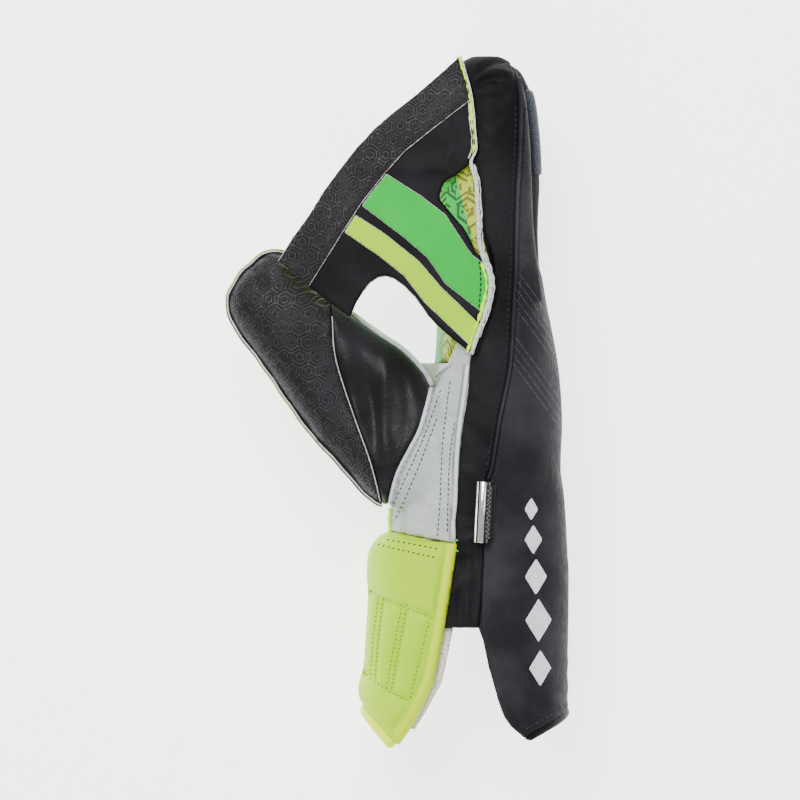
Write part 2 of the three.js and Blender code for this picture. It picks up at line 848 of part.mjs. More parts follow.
// A loop of elastic over the outer half of the bar, with a foot sewn to the cuff
function loopGeometry() {
  const inside = barRadius + fit;
  const outside = inside + loopThickness;
  const top = THREE.MathUtils.degToRad(88);
  const bottom = THREE.MathUtils.degToRad(-38);
  const footLow = -barRadius + 0.1;
  const shape = new THREE.Shape();
  shape.absarc(0, 0, inside, top, bottom, true);
  shape.lineTo(inside * Math.cos(bottom), footLow);
  shape.lineTo(outside * Math.cos(bottom) + loopFoot, footLow);
  shape.lineTo(outside * Math.cos(bottom) + loopFoot, footLow + loopThickness);
  shape.absarc(0, 0, outside, THREE.MathUtils.degToRad(-30), top, false);
  const geometry = new THREE.ExtrudeGeometry(shape, {
    depth: loopLength,
    bevelEnabled: false,
    curveSegments: 6,
  });
  return geometry.translate(0, 0, -loopLength / 2).rotateX(Math.PI / 2);
}

// Materials, by the stuff that the pieces are made of
function stuff(colour, roughness, metalness = 0) {
  return new THREE.MeshStandardMaterial({ color: colour, roughness, metalness });
}

const blackLeather = stuff(0x232124, 0.45);
const mattLeather = stuff(0x1b1a1c, 0.62);
const embossedLeather = stuff(0x2a272b, 0.4);
const blueGreyLeather = stuff(0x5b606c, 0.35);
const suede = stuff(0xc5caca, 0.9);
const yellowRubber = stuff(0xc8e81e, 0.6);
const neonYellow = stuff(0xccff66, 0.5);
const neonGreen = stuff(0x46f57a, 0.5);
const towelling = stuff(0xe3dad5, 0.95);
const laminate = stuff(0xe6e8e4, 0.6);
const chrome = stuff(0xd8dadc, 0.12, 1);
const elastic = stuff(0x161517, 0.8);

function meshOf(name, body, material) {
  const found = body.getMesh();
  const geometry = new THREE.BufferGeometry();
  geometry.setAttribute('position', new THREE.BufferAttribute(found.vertProperties, 3));
  geometry.setIndex(new THREE.BufferAttribute(found.triVerts, 1));
  const mesh = new THREE.Mesh(geometry, material);
  mesh.name = name;
  return mesh;
}

const pieces = new THREE.Group();
pieces.add(
  meshOf('palm_facing', palmFacing, yellowRubber),
  meshOf('suede_heel', suedeHeel, suede),
  meshOf('back_panel', backPanel, blackLeather),
  meshOf('side_gusset', sideStrips[0], mattLeather),
  meshOf('fourchette_1', sideStrips[1], mattLeather),
  meshOf('fourchette_2', sideStrips[2], mattLeather),
  meshOf('fourchette_3', sideStrips[3], mattLeather),
  meshOf('little_finger_gusset', sideStrips[4], mattLeather),
  meshOf('finger_back_strip', backStrip, blueGreyLeather),
  meshOf('thumb_pad', thumbPad, embossedLeather),
  meshOf('thumb_back', thumbBack, blackLeather),
  meshOf('thumb_facing', thumbFacing, yellowRubber),
  meshOf('thumb_edging', thumbEdging, suede),
  meshOf('web', web, blackLeather),
  meshOf('web_facing', webFacing, neonYellow),
  meshOf('web_band', webBand, embossedLeather),
  meshOf('web_stripe_green', webStripe(greenStripe), neonGreen),
  meshOf('web_stripe_yellow', webStripe(yellowStripe), neonYellow),
  meshOf('seam_edge', seamEdge, laminate),
  meshOf('back_welt', backWelt, blackLeather),
  meshOf('front_cuff', frontCuff, neonYellow),
  meshOf('front_cuff_piping', frontPiping, neonYellow),
  meshOf('front_cuff_lining', cuffLining, towelling),
  meshOf('back_cuff', backCuff, blackLeather),
  meshOf('back_cuff_piping', backPiping, mattLeather),
);

const bar = new THREE.Mesh(barGeometry(), chrome);
bar.name = 'wrist_bar';
const barLoop = new THREE.Mesh(loopGeometry(), elastic);
barLoop.name = 'bar_loop';
for (const piece of [bar, barLoop]) {
  piece.position.set(barX, barY, barZ);
  piece.rotation.z = barTilt;
  pieces.add(piece);
}

// The glove's origin is below its middle, on the surface that it rests on
pieces.updateMatrixWorld(true);
const extent = new THREE.Box3().setFromObject(pieces, true);
const centre = extent.getCenter(new THREE.Vector3());
pieces.position.set(-centre.x, -centre.y, -extent.min.z);

const glove = new THREE.Group();
glove.name = 'wicketkeeping_glove';
glove.add(pieces);

export default glove;
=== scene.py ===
import math

import bmesh
import bpy
import numpy as np
from mathutils import Matrix, Vector, kdtree
from mathutils.bvhtree import BVHTree


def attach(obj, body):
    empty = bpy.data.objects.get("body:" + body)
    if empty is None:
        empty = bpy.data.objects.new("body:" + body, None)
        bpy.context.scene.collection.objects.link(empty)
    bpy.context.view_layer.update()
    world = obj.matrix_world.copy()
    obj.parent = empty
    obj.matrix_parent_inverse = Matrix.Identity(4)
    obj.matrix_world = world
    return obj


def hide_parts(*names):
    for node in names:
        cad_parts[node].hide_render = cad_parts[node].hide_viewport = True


# The glove lies on its little-finger side. X runs from palm to back, Y to the fingertips, Z up.
# Lengths in the sections below are millimetres in that frame, and become metres in each mesh.
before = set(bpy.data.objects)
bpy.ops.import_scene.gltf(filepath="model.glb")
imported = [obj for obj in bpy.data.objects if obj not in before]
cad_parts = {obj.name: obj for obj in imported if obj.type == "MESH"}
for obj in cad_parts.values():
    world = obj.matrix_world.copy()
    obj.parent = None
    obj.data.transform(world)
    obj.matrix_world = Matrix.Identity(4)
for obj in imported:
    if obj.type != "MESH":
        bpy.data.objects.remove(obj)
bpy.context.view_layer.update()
mm = 0.001
bpy.ops.object.select_all(action="DESELECT")

# The floor is a broad sheet of white studio paper. The camera looks straight down at it through a
# long lens, and large soft lamps stand round the glove.
picture_width = 368.0
camera_height = 2400.0
aim_height = 92.0
floor_size = 6.0
bpy.ops.mesh.primitive_plane_add(size=floor_size, location=(0, 0, 0))
floor = bpy.context.object
floor.name = "paper_floor"
paper = bpy.data.materials.new("studio_paper")
paper.use_nodes = True
shader = paper.node_tree.nodes["Principled BSDF"]
shader.inputs["Base Color"].default_value = (0.93, 0.93, 0.93, 1)
shader.inputs["Roughness"].default_value = 0.9
shader.inputs["Emission Color"].default_value = (1, 1, 1, 1)
shader.inputs["Emission Strength"].default_value = 2.7
floor.data.materials.append(paper)

lens = bpy.data.cameras.new("product_camera")
lens.sensor_width = 36
lens.lens = 36 * (camera_height - aim_height) / picture_width
lens.clip_end = 20
camera = bpy.data.objects.new("product_camera", lens)
camera.location = (0, 0, camera_height * mm)
bpy.context.scene.collection.objects.link(camera)
bpy.context.scene.camera = camera

world = bpy.data.worlds.new("soft_room")
world.use_nodes = True
world.node_tree.nodes["Background"].inputs["Color"].default_value = (1, 1, 1, 1)
world.node_tree.nodes["Background"].inputs["Strength"].default_value = 0.5
bpy.context.scene.world = world


def lamp(name, place, size, power):
    light = bpy.data.lights.new(name, "AREA")
    light.shape = "RECTANGLE"
    light.size, light.size_y = size
    light.energy = power
    holder = bpy.data.objects.new(name, light)
    holder.location = place
    holder.rotation_euler = Vector(place).to_track_quat("Z", "Y").to_euler()
    bpy.context.scene.collection.objects.link(holder)


lamp("key_softbox", (-0.35, 0.7, 1.7), (0.8, 1.0), 50)
lamp("side_softbox", (1.2, 0.1, 1.3), (0.4, 1.6), 4)
lamp("low_softbox", (-0.2, -1.3, 1.2), (1.2, 0.4), 9)

# Hand, fingers and thumb are one soft body of padded leather, drawn over four finger stalls and a
# thumb stall. Its sections are lofted and fused here, and the sewn pieces are cut from its surface.
hand_middle = 52.2
hand_sections = [
    # y, palm face, back face, half width
    (-112, -6, 74, 52), (-60, -5.4, 76.4, 52.5), (-40.5, -1.8, 75.2, 53.4), (-25, 3.6, 75.2, 54.2),
    (-10, 10.2, 75.8, 55), (10, 15, 74.6, 55), (25, 16.8, 72.4, 55), (45, 17.4, 68.4, 55),
    (60, 17.1, 65.6, 54.7), (68, 21.6, 60, 51.2),
]
finger_sections = [
    # share of the length, palm face, back face, half width
    (0, 17.4, 66, 12.7), (0.27, 16.5, 61.8, 13.2), (0.49, 16.5, 60.6, 13.2), (0.66, 17.4, 59.8, 13.2),
    (0.84, 20.4, 57.6, 12.5), (0.93, 24.6, 54, 10.8), (0.975, 28.2, 51, 7.9), (1, 33, 46.2, 3.9),
]
finger_root = 45.0
fingers = [
    # middle height, length, padding on the back
    (94.0, 113, 0), (67.0, 111, 4.5), (40.0, 102, 4.2), (13.0, 84, 1.8),
]
thumb_middle = 87.0
thumb_sections = [
    # x, y, slant in degrees, half width, half depth, hollow pressed into the upper face
    (26.7, -31.6, 66, 21, 13.7, 0), (3.9, -21.5, 66, 29, 18, 1.5), (-5.6, -11.8, 58, 29.7, 19, 3.8),
    (-16.8, 0.1, 52, 28.9, 19, 5.3), (-29, 12.6, 44, 25.8, 18.4, 3.8), (-48, 32.8, 38, 21.6, 17.1, 0.8),
    (-58.5, 45, 36, 20.4, 15.2, 0), (-65, 55.8, 37, 17.7, 12.5, 0), (-66, 62.2, 36, 10.2, 8, 0),
    (-64.5, 65, 36, 3.6, 3, 0),
]
cuff_middle, cuff_half, back_cuff_inside = 51.6, 54.4, 37.6
back_cuff_sections = [
    # y, palm face, back face, drawn in where the cuff grows out of the hand
    (8, -5, 75, 9), (-18, -5, 75.4, 4), (-37, -5.5, 76.4, 0.8), (-52, -6.5, 77.2, 0), (-71.1, -13.1, 78.2, 0),
    (-81, -14.4, 78.8, 0), (-104.8, -14.7, 78.6, 0), (-135.5, -18.6, 78.2, 0), (-149.4, -18, 79.4, 0),
    (-170, -17.8, 79.4, 0),
]
body_folds = [
    # from x, y to x, y, width, height of soft folds on the upper side
    (26, -50, 38, -57, 2.2, -0.9), (24, -66, 37, -60, 2.0, 0.8), (22, -78, 35, -71, 2.4, -0.9),
    (21, -92, 34, -80, 2.6, 0.9), (27, -30, 40, -41, 2.6, 0.7), (29, -12, 44, -24, 3.0, -0.7),
    (31, 8, 46, -6, 3.5, 0.6), (34, 30, 50, 20, 3.5, -0.5), (-24, 26, -20, -16, 3.0, 1.0),
    (-17, 22, -11, -26, 2.6, -1.0), (-8, 22, -5, -30, 3.0, 1.1), (2, 14, 3, -18, 2.6, -0.8),
    (33, 151, 50, 156, 1.8, -1.8), (34, 147, 52, 151, 1.8, 1.4), (34, 143, 46, 148, 1.6, -1.4),
    (36, 136, 50, 140, 2.6, -0.8), (40, 120, 51, 128, 3.0, 0.7), (25, -70, 24, -104, 1.5, 0.9),
    (28, -64, 28, -104, 1.6, -1.1), (31, -70, 30, -104, 1.4, 0.9), (34, -60, 34, -104, 1.6, -0.9),
    (-73, 66, -60, 52, 2.2, -2.4), (-66, 70, -52, 60, 2.6, 1.0),
    (56, 60, 66, 52, 3.0, -0.9), (52, 34, 70, 30, 5.0, 1.0), (50, 8, 74, 14, 5.0, -0.6),
]


def smooth_rows(rows, steps):
    """A smooth curve through the rows of a table, with steps between each two."""
    rows = np.array(rows, float)
    padded = np.vstack([2 * rows[0] - rows[1], rows, 2 * rows[-1] - rows[-2]])
    out = []
    for k in range(len(rows) - 1):
        a, b, c, d = padded[k:k + 4]
        for s in range(steps):
            t = s / steps
            out.append(0.5 * (2 * b + (c - a) * t + (2 * a - 5 * b + 4 * c - d) * t * t
                              + (3 * b - a - 3 * c + d) * t ** 3))
    out.append(rows[-1])
    return np.array(out)


def superellipse(sides, squareness):
    turn = (np.arange(sides) + 0.5) * 2 * np.pi / sides
    across, up = np.cos(turn), np.sin(turn)
    power = 2 / squareness
    return np.sign(across) * abs(across) ** power, np.sign(up) * abs(up) ** power


def loft(rings, capped=True):
    sides, count = len(rings[0]), len(rings)
    faces = []
    for r in range(count - 1):
        for s in range(sides):
            a, b = r * sides + s, r * sides + (s + 1) % sides
            faces.append((a, b, b + sides, a + sides))
    if capped:
        faces.append(tuple(range(sides))[::-1])
        faces.append(tuple(range((count - 1) * sides, count * sides)))
    return np.vstack(rings), faces


def sections_up_y(rows, middle, squareness, sides):
    across, up = superellipse(sides, squareness)
    rings = []
    for y, palm, back, half in rows:
        x = (palm + back) / 2 + (back - palm) / 2 * across
        rings.append(np.column_stack([x, np.full(sides, y), middle + half * up]))
    return rings


def thumb_rings():
    across, up = superellipse(64, 2.4)
    rings = []
    for x, y, slant, half, deep, hollow in smooth_rows(thumb_sections, 5):
        turn = math.radians(slant)
        pressed = np.where(up > 0, hollow * np.exp(-(2 * across) ** 2), 0)
        rings.append(np.column_stack([
            x + half * across * math.cos(turn), y + half * across * math.sin(turn),
            thumb_middle + deep * up - pressed]))
    return rings


def mesh_object(name, verts, faces):
    data = bpy.data.meshes.new(name)
    data.from_pydata((np.asarray(verts) * mm).tolist(), [], [tuple(int(i) for i in f) for f in faces])
    data.update()
    piece = bpy.data.objects.new(name, data)
    bpy.context.scene.collection.objects.link(piece)
    return piece


def apply_modifier(piece, kind, **settings):
    bpy.ops.object.select_all(action="DESELECT")
    bpy.context.view_layer.objects.active = piece
    piece.select_set(True)
    modifier = piece.modifiers.new(kind.lower(), kind)
    for key, value in settings.items():
        setattr(modifier, key, value)
    bpy.ops.object.modifier_apply(modifier=modifier.name)
    piece.select_set(False)


def read_mesh(piece):
    data = piece.data
    verts = np.zeros(len(data.vertices) * 3)
    data.vertices.foreach_get("co", verts)
    data.calc_loop_triangles()
    triangles = np.zeros(len(data.loop_triangles) * 3, int)
    data.loop_triangles.foreach_get("vertices", triangles)
    return verts.reshape(-1, 3) / mm, triangles.reshape(-1, 3)


def normals_of(verts, triangles):
    a, b, c = (verts[triangles[:, k]] for k in range(3))
    face = np.cross(b - a, c - a)
    out = np.zeros_like(verts)
    for k in range(3):
        np.add.at(out, triangles[:, k], face)
    return out / np.maximum(np.linalg.norm(out, axis=1, keepdims=True), 1e-12)


def folded(verts, triangles, folds):
    """Soft ridges and hollows along lines seen from above."""
    normals = normals_of(verts, triangles)
    rise = np.zeros(len(verts))
    for x0, y0, x1, y1, width, height in folds:
        along = np.array([x1 - x0, y1 - y0], float)
        length = np.linalg.norm(along)
        along /= length
        off = verts[:, :2] - (x0, y0)
        run = off @ along
        side = off @ np.array([-along[1], along[0]]) + 1.2 * np.sin(run / length * 5 + x0)
        ends = np.clip(np.minimum(run, length - run) / (0.3 * length) + 0.3, 0, 1)
        rise += height * ends * np.exp(-(side / width) ** 2)
    return verts + normals * (rise * np.clip(normals[:, 2] * 2, 0, 1))[:, None]


stalls = [loft(sections_up_y(smooth_rows(hand_sections, 5), hand_middle, 2.6, 96))]
for middle, length, padding in fingers:
    rows = smooth_rows(finger_sections, 6)
    rows[:, 2] += padding * np.minimum(1, rows[:, 0] * 2)
    rows[:, 0] = finger_root + rows[:, 0] * length
    stalls.append(loft(sections_up_y(rows, middle, 2.5, 56)))
stalls.append(loft(thumb_rings()))
back_rings = []
across, up = superellipse(120, 3)
for y, palm, back, inset in smooth_rows(back_cuff_sections, 6)[::-1]:
    x = (palm + back) / 2 + ((back - palm) / 2 - inset) * across
    back_rings.append(np.column_stack([np.maximum(x, back_cuff_inside), np.full(120, y),
                                       cuff_middle + (cuff_half - inset) * up]))
stalls.append(loft(back_rings[::-1]))
all_verts, all_faces = [], []
for verts, faces in stalls:
    start = sum(len(v) for v in all_verts)
    all_faces += [tuple(i + start for i in face) for face in faces]
    all_verts.append(verts)
body = mesh_object("body_form", np.vstack(all_verts), all_faces)
apply_modifier(body, "REMESH", mode="VOXEL", voxel_size=1.25 * mm)
apply_modifier(body, "SMOOTH", factor=0.5, iterations=9)
body_verts, body_faces = read_mesh(body)
bpy.data.objects.remove(body)
body_verts = folded(body_verts, body_faces, body_folds)
body_verts[:, 2] = np.maximum(body_verts[:, 2], 0.05)


def part(verts, faces, field):
    """Cuts a surface along the line where field changes sign. The first faces are where it is above 0."""
    field = np.where(abs(field) < 0.12, 0, field)
    sign = np.sign(field).astype(int)
    ends = np.sort(np.vstack([faces[:, [0, 1]], faces[:, [1, 2]], faces[:, [2, 0]]]), axis=1)
    code, back = np.unique(ends[:, 0] * len(verts) + ends[:, 1], return_inverse=True)
    a, b = code // len(verts), code % len(verts)
    cut = sign[a] * sign[b] < 0
    fresh = np.full(len(code), -1)
    fresh[cut] = len(verts) + np.arange(cut.sum())
    share = (field[a[cut]] / (field[a[cut]] - field[b[cut]]))[:, None]
    verts = np.vstack([verts, verts[a[cut]] * (1 - share) + verts[b[cut]] * share])
    middle = fresh[back].reshape(3, -1).T
    crossed = (middle >= 0).sum(axis=1)
    whole = faces[crossed == 0]
    total = sign[whole].sum(axis=1)
    above, below = [whole[total > 0]], [whole[total <= 0]]
    for k in range(3):
        i, j, m = faces[:, k], faces[:, (k + 1) % 3], faces[:, (k + 2) % 3]
        first, last = middle[:, k], middle[:, (k + 2) % 3]
        one = (crossed == 1) & (first >= 0)
        two = (crossed == 2) & (first >= 0) & (last >= 0)
        corner = np.column_stack([i, first, m])[one]
        rest = np.column_stack([first, j, m])[one]
        tip = np.column_stack([i, first, last])[two]
        base = np.vstack([np.column_stack([first, j, m])[two], np.column_stack([first, m, last])[two]])
        up = sign[i] > 0
        above += [corner[up[one]], rest[~up[one]], tip[up[two]], base[np.tile(~up[two], 2)]]
        below += [corner[~up[one]], rest[up[one]], tip[~up[two]], base[np.tile(up[two], 2)]]
    return verts, np.vstack(above), np.vstack(below)


def line_at(table, y):
    rows = smooth_rows(table, 6)
    return np.interp(y, rows[:, 0], rows[:, 1])


palm_seam = [
    # y, x
    (-118, 17), (-105.8, 19.8), (-85.6, 23.5), (-68.5, 26.2), (-60, 24.8), (-46, 26.2), (-30, 26.7),
    (-14, 28.1), (2, 30.4), (21, 32.2), (39, 37.3), (54, 42.3), (66, 41.9), (81, 36.8), (99, 35.9),
    (106, 31.9), (114, 34.5), (123, 32.7), (139, 33.1), (156, 26.2), (170, 20),
]
back_seam = [
    (-118, 35.5), (-85, 36.8), (-50, 38.6), (-36.8, 40), (-29, 42.4), (-9.2, 45.5), (16, 50.4),
    (43.7, 52), (59.8, 52.9), (92, 53.6), (112.7, 54.7), (136, 55.2), (152, 52), (170, 46),
]
thumb_line = [
    (-75, -6.6), (-59.5, -6.3), (-49.2, -5.7), (-34.4, -2.1), (-22.7, 3.7), (-12.4, 8.9), (6.3, 14),
    (24, 14), (34, 14),
]
pad_line = [
    (-75, -3), (-59.5, -6.4), (-39.9, -10.5), (-26.5, -14.2), (-12.7, -19.2), (6.1, -25.7), (20.9, -29.8),
    (38.3, -31.2), (78, -34),
]
back_outline = [
    # the back cuff below the side strip
    (36.3, -100), (36.1, -105), (39.8, -115.5), (42.2, -127), (45.2, -137.7), (48, -145), (51.2, -149.4),
    (57.7, -154.8), (110, -128.7), (110, -100),
]


def off_line(places, line):
    """Distance to a line of points seen from above."""
    best = np.full(len(places), 1e9)
    for (ax, ay), (bx, by) in zip(line[:-1], line[1:]):
        off = places[:, :2] - (ax, ay)
        way = np.array([bx - ax, by - ay])
        share = np.clip(off @ way / (way @ way), 0, 1)
        best = np.minimum(best, np.linalg.norm(off - share[:, None] * way, axis=1))
    return best


def inside(outline, places):
    """Signed distance to an outline seen from above, above 0 inside it."""
    closed = np.array([*outline, outline[0]], float)
    best = off_line(places, closed)
    odd = np.zeros(len(places), bool)
    for (ax, ay), (bx, by) in zip(closed[:-1], closed[1:]):
        over = (ay > places[:, 1]) != (by > places[:, 1])
        with np.errstate(divide="ignore", invalid="ignore"):
            cross = ax + (places[:, 1] - ay) * (bx - ax) / (by - ay)
        odd ^= over & (places[:, 0] < cross)
    return np.where(odd, best, -best)


def above_cuff(places):
    """How far up the hand a point is from the slanting upper edge of the front cuff."""
    return places[:, 1] + 58.75 + 0.153 * (places[:, 0] + 19)


cuff_split, strip_hem = -100.0, -104.4
suede_rise, thumb_parting, palm_turn = 14.0, 83.0, 58.0
points = body_verts
points, back_faces, rest = part(points, body_faces, points[:, 0] - line_at(back_seam, points[:, 1]))
below = np.where(points[:, 1] < cuff_split, inside(back_outline, points), 5.0)
points, back_faces, _ = part(points, back_faces, below)
points, palm_side, strips = part(points, rest, line_at(palm_seam, points[:, 1]) - points[:, 0])
points, thumb_faces, palm_faces = part(
    points, palm_side, line_at(thumb_line, points[:, 1]) - points[:, 0])
points, palm_faces, _ = part(points, palm_faces, above_cuff(points))
points, thumb_faces, _ = part(points, thumb_faces, above_cuff(points))
points, upper_palm, lower_palm = part(points, palm_faces, points[:, 2] - palm_turn)
suede_top = 17 + np.clip((points[:, 0] - 21.6) * 2.5, 0, suede_rise)
points, suede_faces, rest_palm = part(points, upper_palm, suede_top - points[:, 1])
palm_faces = np.vstack([lower_palm, rest_palm])
points, thumb_lower, thumb_upper = part(points, thumb_faces, thumb_parting - points[:, 2])
points, pad_faces, thumb_back_faces = part(
    points, thumb_upper, line_at(pad_line, points[:, 1]) - points[:, 0])
points, strips, _ = part(points, strips, points[:, 1] - strip_hem)
strip_faces = []
for middle, _, _ in fingers:
    points, upper, strips = part(points, strips, points[:, 2] - middle)
    strip_faces.append(upper)
strip_faces.append(strips)


# The palm and the fronts of the fingers are one sheet of catching rubber. It is green, with yellow
# beside the forefinger's seam and on the fingertips. Hexagon mazes are pressed into it for grip, with
# shade painted dark into their grooves, and it is glued on a soft padding.
rubber_yellow, rubber_green = (0.42, 0.5, 0.0, 1), (0.0, 0.46, 0.05, 1)
# painted shade: the colours that fill the maze's grooves
groove_shade_yellow, groove_shade_green = (0.11, 0.12, 0.0, 1), (0.0, 0.08, 0.01, 1)
maze_size, maze_pitch = 12.5, 2.5


def boundary(faces, count):
    """The edges that only one face has."""
    ends = np.vstack([faces[:, [0, 1]], faces[:, [1, 2]], faces[:, [2, 0]]])
    code = np.sort(ends, axis=1) @ np.array([count, 1])
    _, first, repeats = np.unique(code, return_index=True, return_counts=True)
    return ends[first[repeats == 1]]


def thick_sheet(name, verts, faces, thickness, roll, rise=None):
    """Gives a surface its thickness, with edges rolled down into the seams. Keeps the distance to
    the edge, in millimetres, in the attribute "edge", and 1 on the far side in "inside"."""
    used, index = np.unique(faces, return_inverse=True)
    verts, faces = verts[used], index.reshape(-1, 3)
    normals = normals_of(verts, faces)
    rim = boundary(faces, len(verts))
    samples = np.vstack([verts[rim[:, 0]] * (1 - t) + verts[rim[:, 1]] * t for t in (0, 0.33, 0.67)])
    tree = kdtree.KDTree(len(samples))
    for k, place in enumerate(samples):
        tree.insert(place, k)
    tree.balance()
    edge = np.array([tree.find(v)[2] for v in verts])
    on_rim = np.zeros(len(verts), bool)
    on_rim[rim.ravel()] = True
    edge[on_rim] = 0
    full = np.sqrt(1 - (1 - np.clip(edge / roll, 0, 1)) ** 2)[:, None]
    outer = verts - normals * thickness / 2 * (1 - full)
    inner = verts - normals * thickness / 2 * (1 + full)
    if rise is not None:
        outer += normals * (rise(verts, normals, edge))[:, None]
    inner_index = np.cumsum(~on_rim) - 1 + len(verts)
    inner_index[on_rim] = np.flatnonzero(on_rim)
    faces = faces[~on_rim[faces].all(axis=1)]
    all_verts = np.vstack([outer, inner[~on_rim]])
    piece = mesh_object(name, all_verts, np.vstack([faces, inner_index[faces][:, ::-1]]))
    piece.data.shade_smooth()
    for label, values in (("edge", np.concatenate([edge, edge[~on_rim]])),
                          ("inside", np.concatenate([np.zeros(len(verts)), np.ones((~on_rim).sum())]))):
        piece.data.attributes.new(label, "FLOAT", "POINT").data.foreach_set("value", values)
    surface = BVHTree.FromPolygons(outer.tolist(), faces.tolist())
    return piece, surface


def put(tree, kind, values=None, **settings):
    item = tree.nodes.new("ShaderNode" + kind)
    for key, value in settings.items():
        setattr(item, key, value)
    for key, value in (values or {}).items():
        if isinstance(value, bpy.types.NodeSocket):
            tree.links.new(value, item.inputs[key])
        else:
            item.inputs[key].default_value = value
    return item.outputs


def start_material(name):
    material = bpy.data.materials.new(name)
    material.use_nodes = True
    tree = material.node_tree
    return material, tree, tree.nodes["Principled BSDF"], put(tree, "TexCoord")["Object"]


def sums(tree, operation, first, second=0.0, third=0.0):
    return put(tree, "Math", {0: first, 1: second, 2: third}, operation=operation)[0]


def ramp(tree, value, start, end, low=0.0, high=1.0):
    return put(tree, "MapRange", {0: value, 1: start, 2: end, 3: low, 4: high},
               interpolation_type="SMOOTHSTEP")[0]


def mix(tree, share, first, second):
    return put(tree, "Mix", {0: share, 6: first, 7: second}, data_type="RGBA")[2]


def noise_at(tree, where, size, detail=3.0, distortion=0.0, roughness=0.55):
    return put(tree, "TexNoise", {"Vector": where, "Scale": 1000 / size, "Detail": detail,
                                  "Distortion": distortion, "Roughness": roughness})["Fac"]


def bumped(tree, shader, height, strength, depth):
    """Raises a grain or a pattern by up to depth millimetres."""
    bump = put(tree, "Bump", {"Height": height, "Strength": strength, "Distance": depth * mm})
    tree.links.new(bump["Normal"], shader.inputs["Normal"])


def laid(piece, finish, slot, *stands_for):
    """Gives a piece its material, and its place on the glove's one body."""
    piece.data.materials.append(finish)
    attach(piece, "root")
    if stands_for:
        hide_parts(*stands_for)


def hexagon_maze(tree, across, along, size, pitch, line):
    """Broken hexagon rings inside hexagon cells: 1 on the lines, 0 between them."""
    step = (1.0, math.sqrt(3.0), 1.0)
    half, minus = tuple(v / 2 for v in step), tuple(-v / 2 for v in step)
    flat = put(tree, "CombineXYZ", {0: sums(tree, "MULTIPLY", across, 1000 / size),
                                    1: sums(tree, "MULTIPLY", along, 1000 / size)})[0]

    def vector(operation, first, second=(0, 0, 0), third=None):
        values = {0: first, 1: second}
        if third is not None:
            values[2] = third
        return put(tree, "VectorMath", values, operation=operation)

    one = vector("WRAP", flat, half, minus)[0]
    two = vector("WRAP", vector("ADD", flat, half)[0], half, minus)[0]
    nearer = sums(tree, "LESS_THAN", vector("LENGTH", one)["Value"], vector("LENGTH", two)["Value"])
    here = put(tree, "Mix", {0: nearer, 4: two, 5: one}, data_type="VECTOR")[1]
    cell = put(tree, "TexWhiteNoise", {0: vector("SNAP", vector("ADD", vector("SUBTRACT", flat, here)[0],
                                                                (0.1, 0.1, 0.1))[0], (0.5, 0.5, 0.5))[0]},
               noise_dimensions="3D")["Value"]
    apart = put(tree, "SeparateXYZ", {0: here})
    wide = sums(tree, "ABSOLUTE", apart[0])
    slant = sums(tree, "MULTIPLY_ADD", sums(tree, "ABSOLUTE", apart[1]), math.sin(math.pi / 3),
                 sums(tree, "MULTIPLY", wide, 0.5))
    ring = sums(tree, "MULTIPLY", sums(tree, "MAXIMUM", wide, slant), size / pitch)
    wave = sums(tree, "PINGPONG", ring, 0.5)
    strokes = ramp(tree, wave, line * 0.3, line * 0.5 + 0.16, 1.0, 0.0)
    sixths = sums(tree, "MULTIPLY", sums(tree, "ARCTAN2", apart[1], apart[0]), 3 / math.pi)
    side = sums(tree, "FLOOR", sums(tree, "ADD", sixths, 6.5))
    ring_number = sums(tree, "FLOOR", sums(tree, "ADD", ring, 0.5))
    which = put(tree, "CombineXYZ", {0: cell, 1: ring_number, 2: side})[0]
    kept = put(tree, "TexWhiteNoise", {0: which}, noise_dimensions="3D")["Value"]
    spokes = ramp(tree, sums(tree, "PINGPONG", sixths, 0.5), 0.5 - line * 0.3, 0.5 - line * 0.22)
    linked = sums(tree, "MULTIPLY", spokes, sums(tree, "GREATER_THAN", kept, 0.72))
    sides_kept = sums(tree, "MULTIPLY", strokes, sums(tree, "GREATER_THAN", kept, 0.3))
    return sums(tree, "MAXIMUM", sides_kept, linked)


def catching_rubber(name, border):
    """Two colours of soft rubber with the maze pressed in, and painted shade in its grooves. border gives the
    line between them.
    """
    material, tree, shader, where = start_material(name)
    apart = put(tree, "SeparateXYZ", {0: where})
    round_way = sums(tree, "ADD", apart[0], apart[2])
    maze = hexagon_maze(tree, round_way, apart[1], maze_size, maze_pitch, 0.42)
    fine = noise_at(tree, where, 0.8, 4)
    cloud = ramp(tree, noise_at(tree, where, 9), 0.35, 0.65)
    yellow = mix(tree, cloud, rubber_yellow, tuple(0.85 * v for v in rubber_yellow[:3]) + (1,))
    green = mix(tree, cloud, rubber_green, tuple(0.85 * v for v in rubber_green[:3]) + (1,))
    colour = mix(tree, border(tree, apart), green, yellow)
    # painted shade: the grooves take darker copies of the rubber colours
    painted_groove_shade = mix(tree, border(tree, apart), groove_shade_green, groove_shade_yellow)
    tree.links.new(mix(tree, maze, colour, painted_groove_shade), shader.inputs["Base Color"])
    tree.links.new(ramp(tree, fine, 0.3, 0.7, 0.52, 0.68), shader.inputs["Roughness"])
    height = sums(tree, "MULTIPLY_ADD", fine, 0.12, sums(tree, "SUBTRACT", 1.0, maze))
    bumped(tree, shader, height, 0.8, 0.45)
    return material


def palm_border(tree, apart):
    """Yellow beside the forefinger's seam and on the fingertips, green elsewhere."""
    up = sums(tree, "MAXIMUM", sums(tree, "SUBTRACT", apart[1], 0.05), 0.0)
    low = sums(tree, "MULTIPLY_ADD", up, 1.2, 0.0196)
    edge = sums(tree, "MINIMUM", sums(tree, "MULTIPLY_ADD", apart[1], -0.25, 0.0512), low)
    wavy = sums(tree, "SUBTRACT", apart[0], edge)
    near = sums(tree, "MAXIMUM", ramp(tree, apart[2], 0.0655, 0.066), ramp(tree, apart[1], 0.088, 0.0885))
    return sums(tree, "MULTIPLY", ramp(tree, wavy, -0.0003, 0.0003), near)


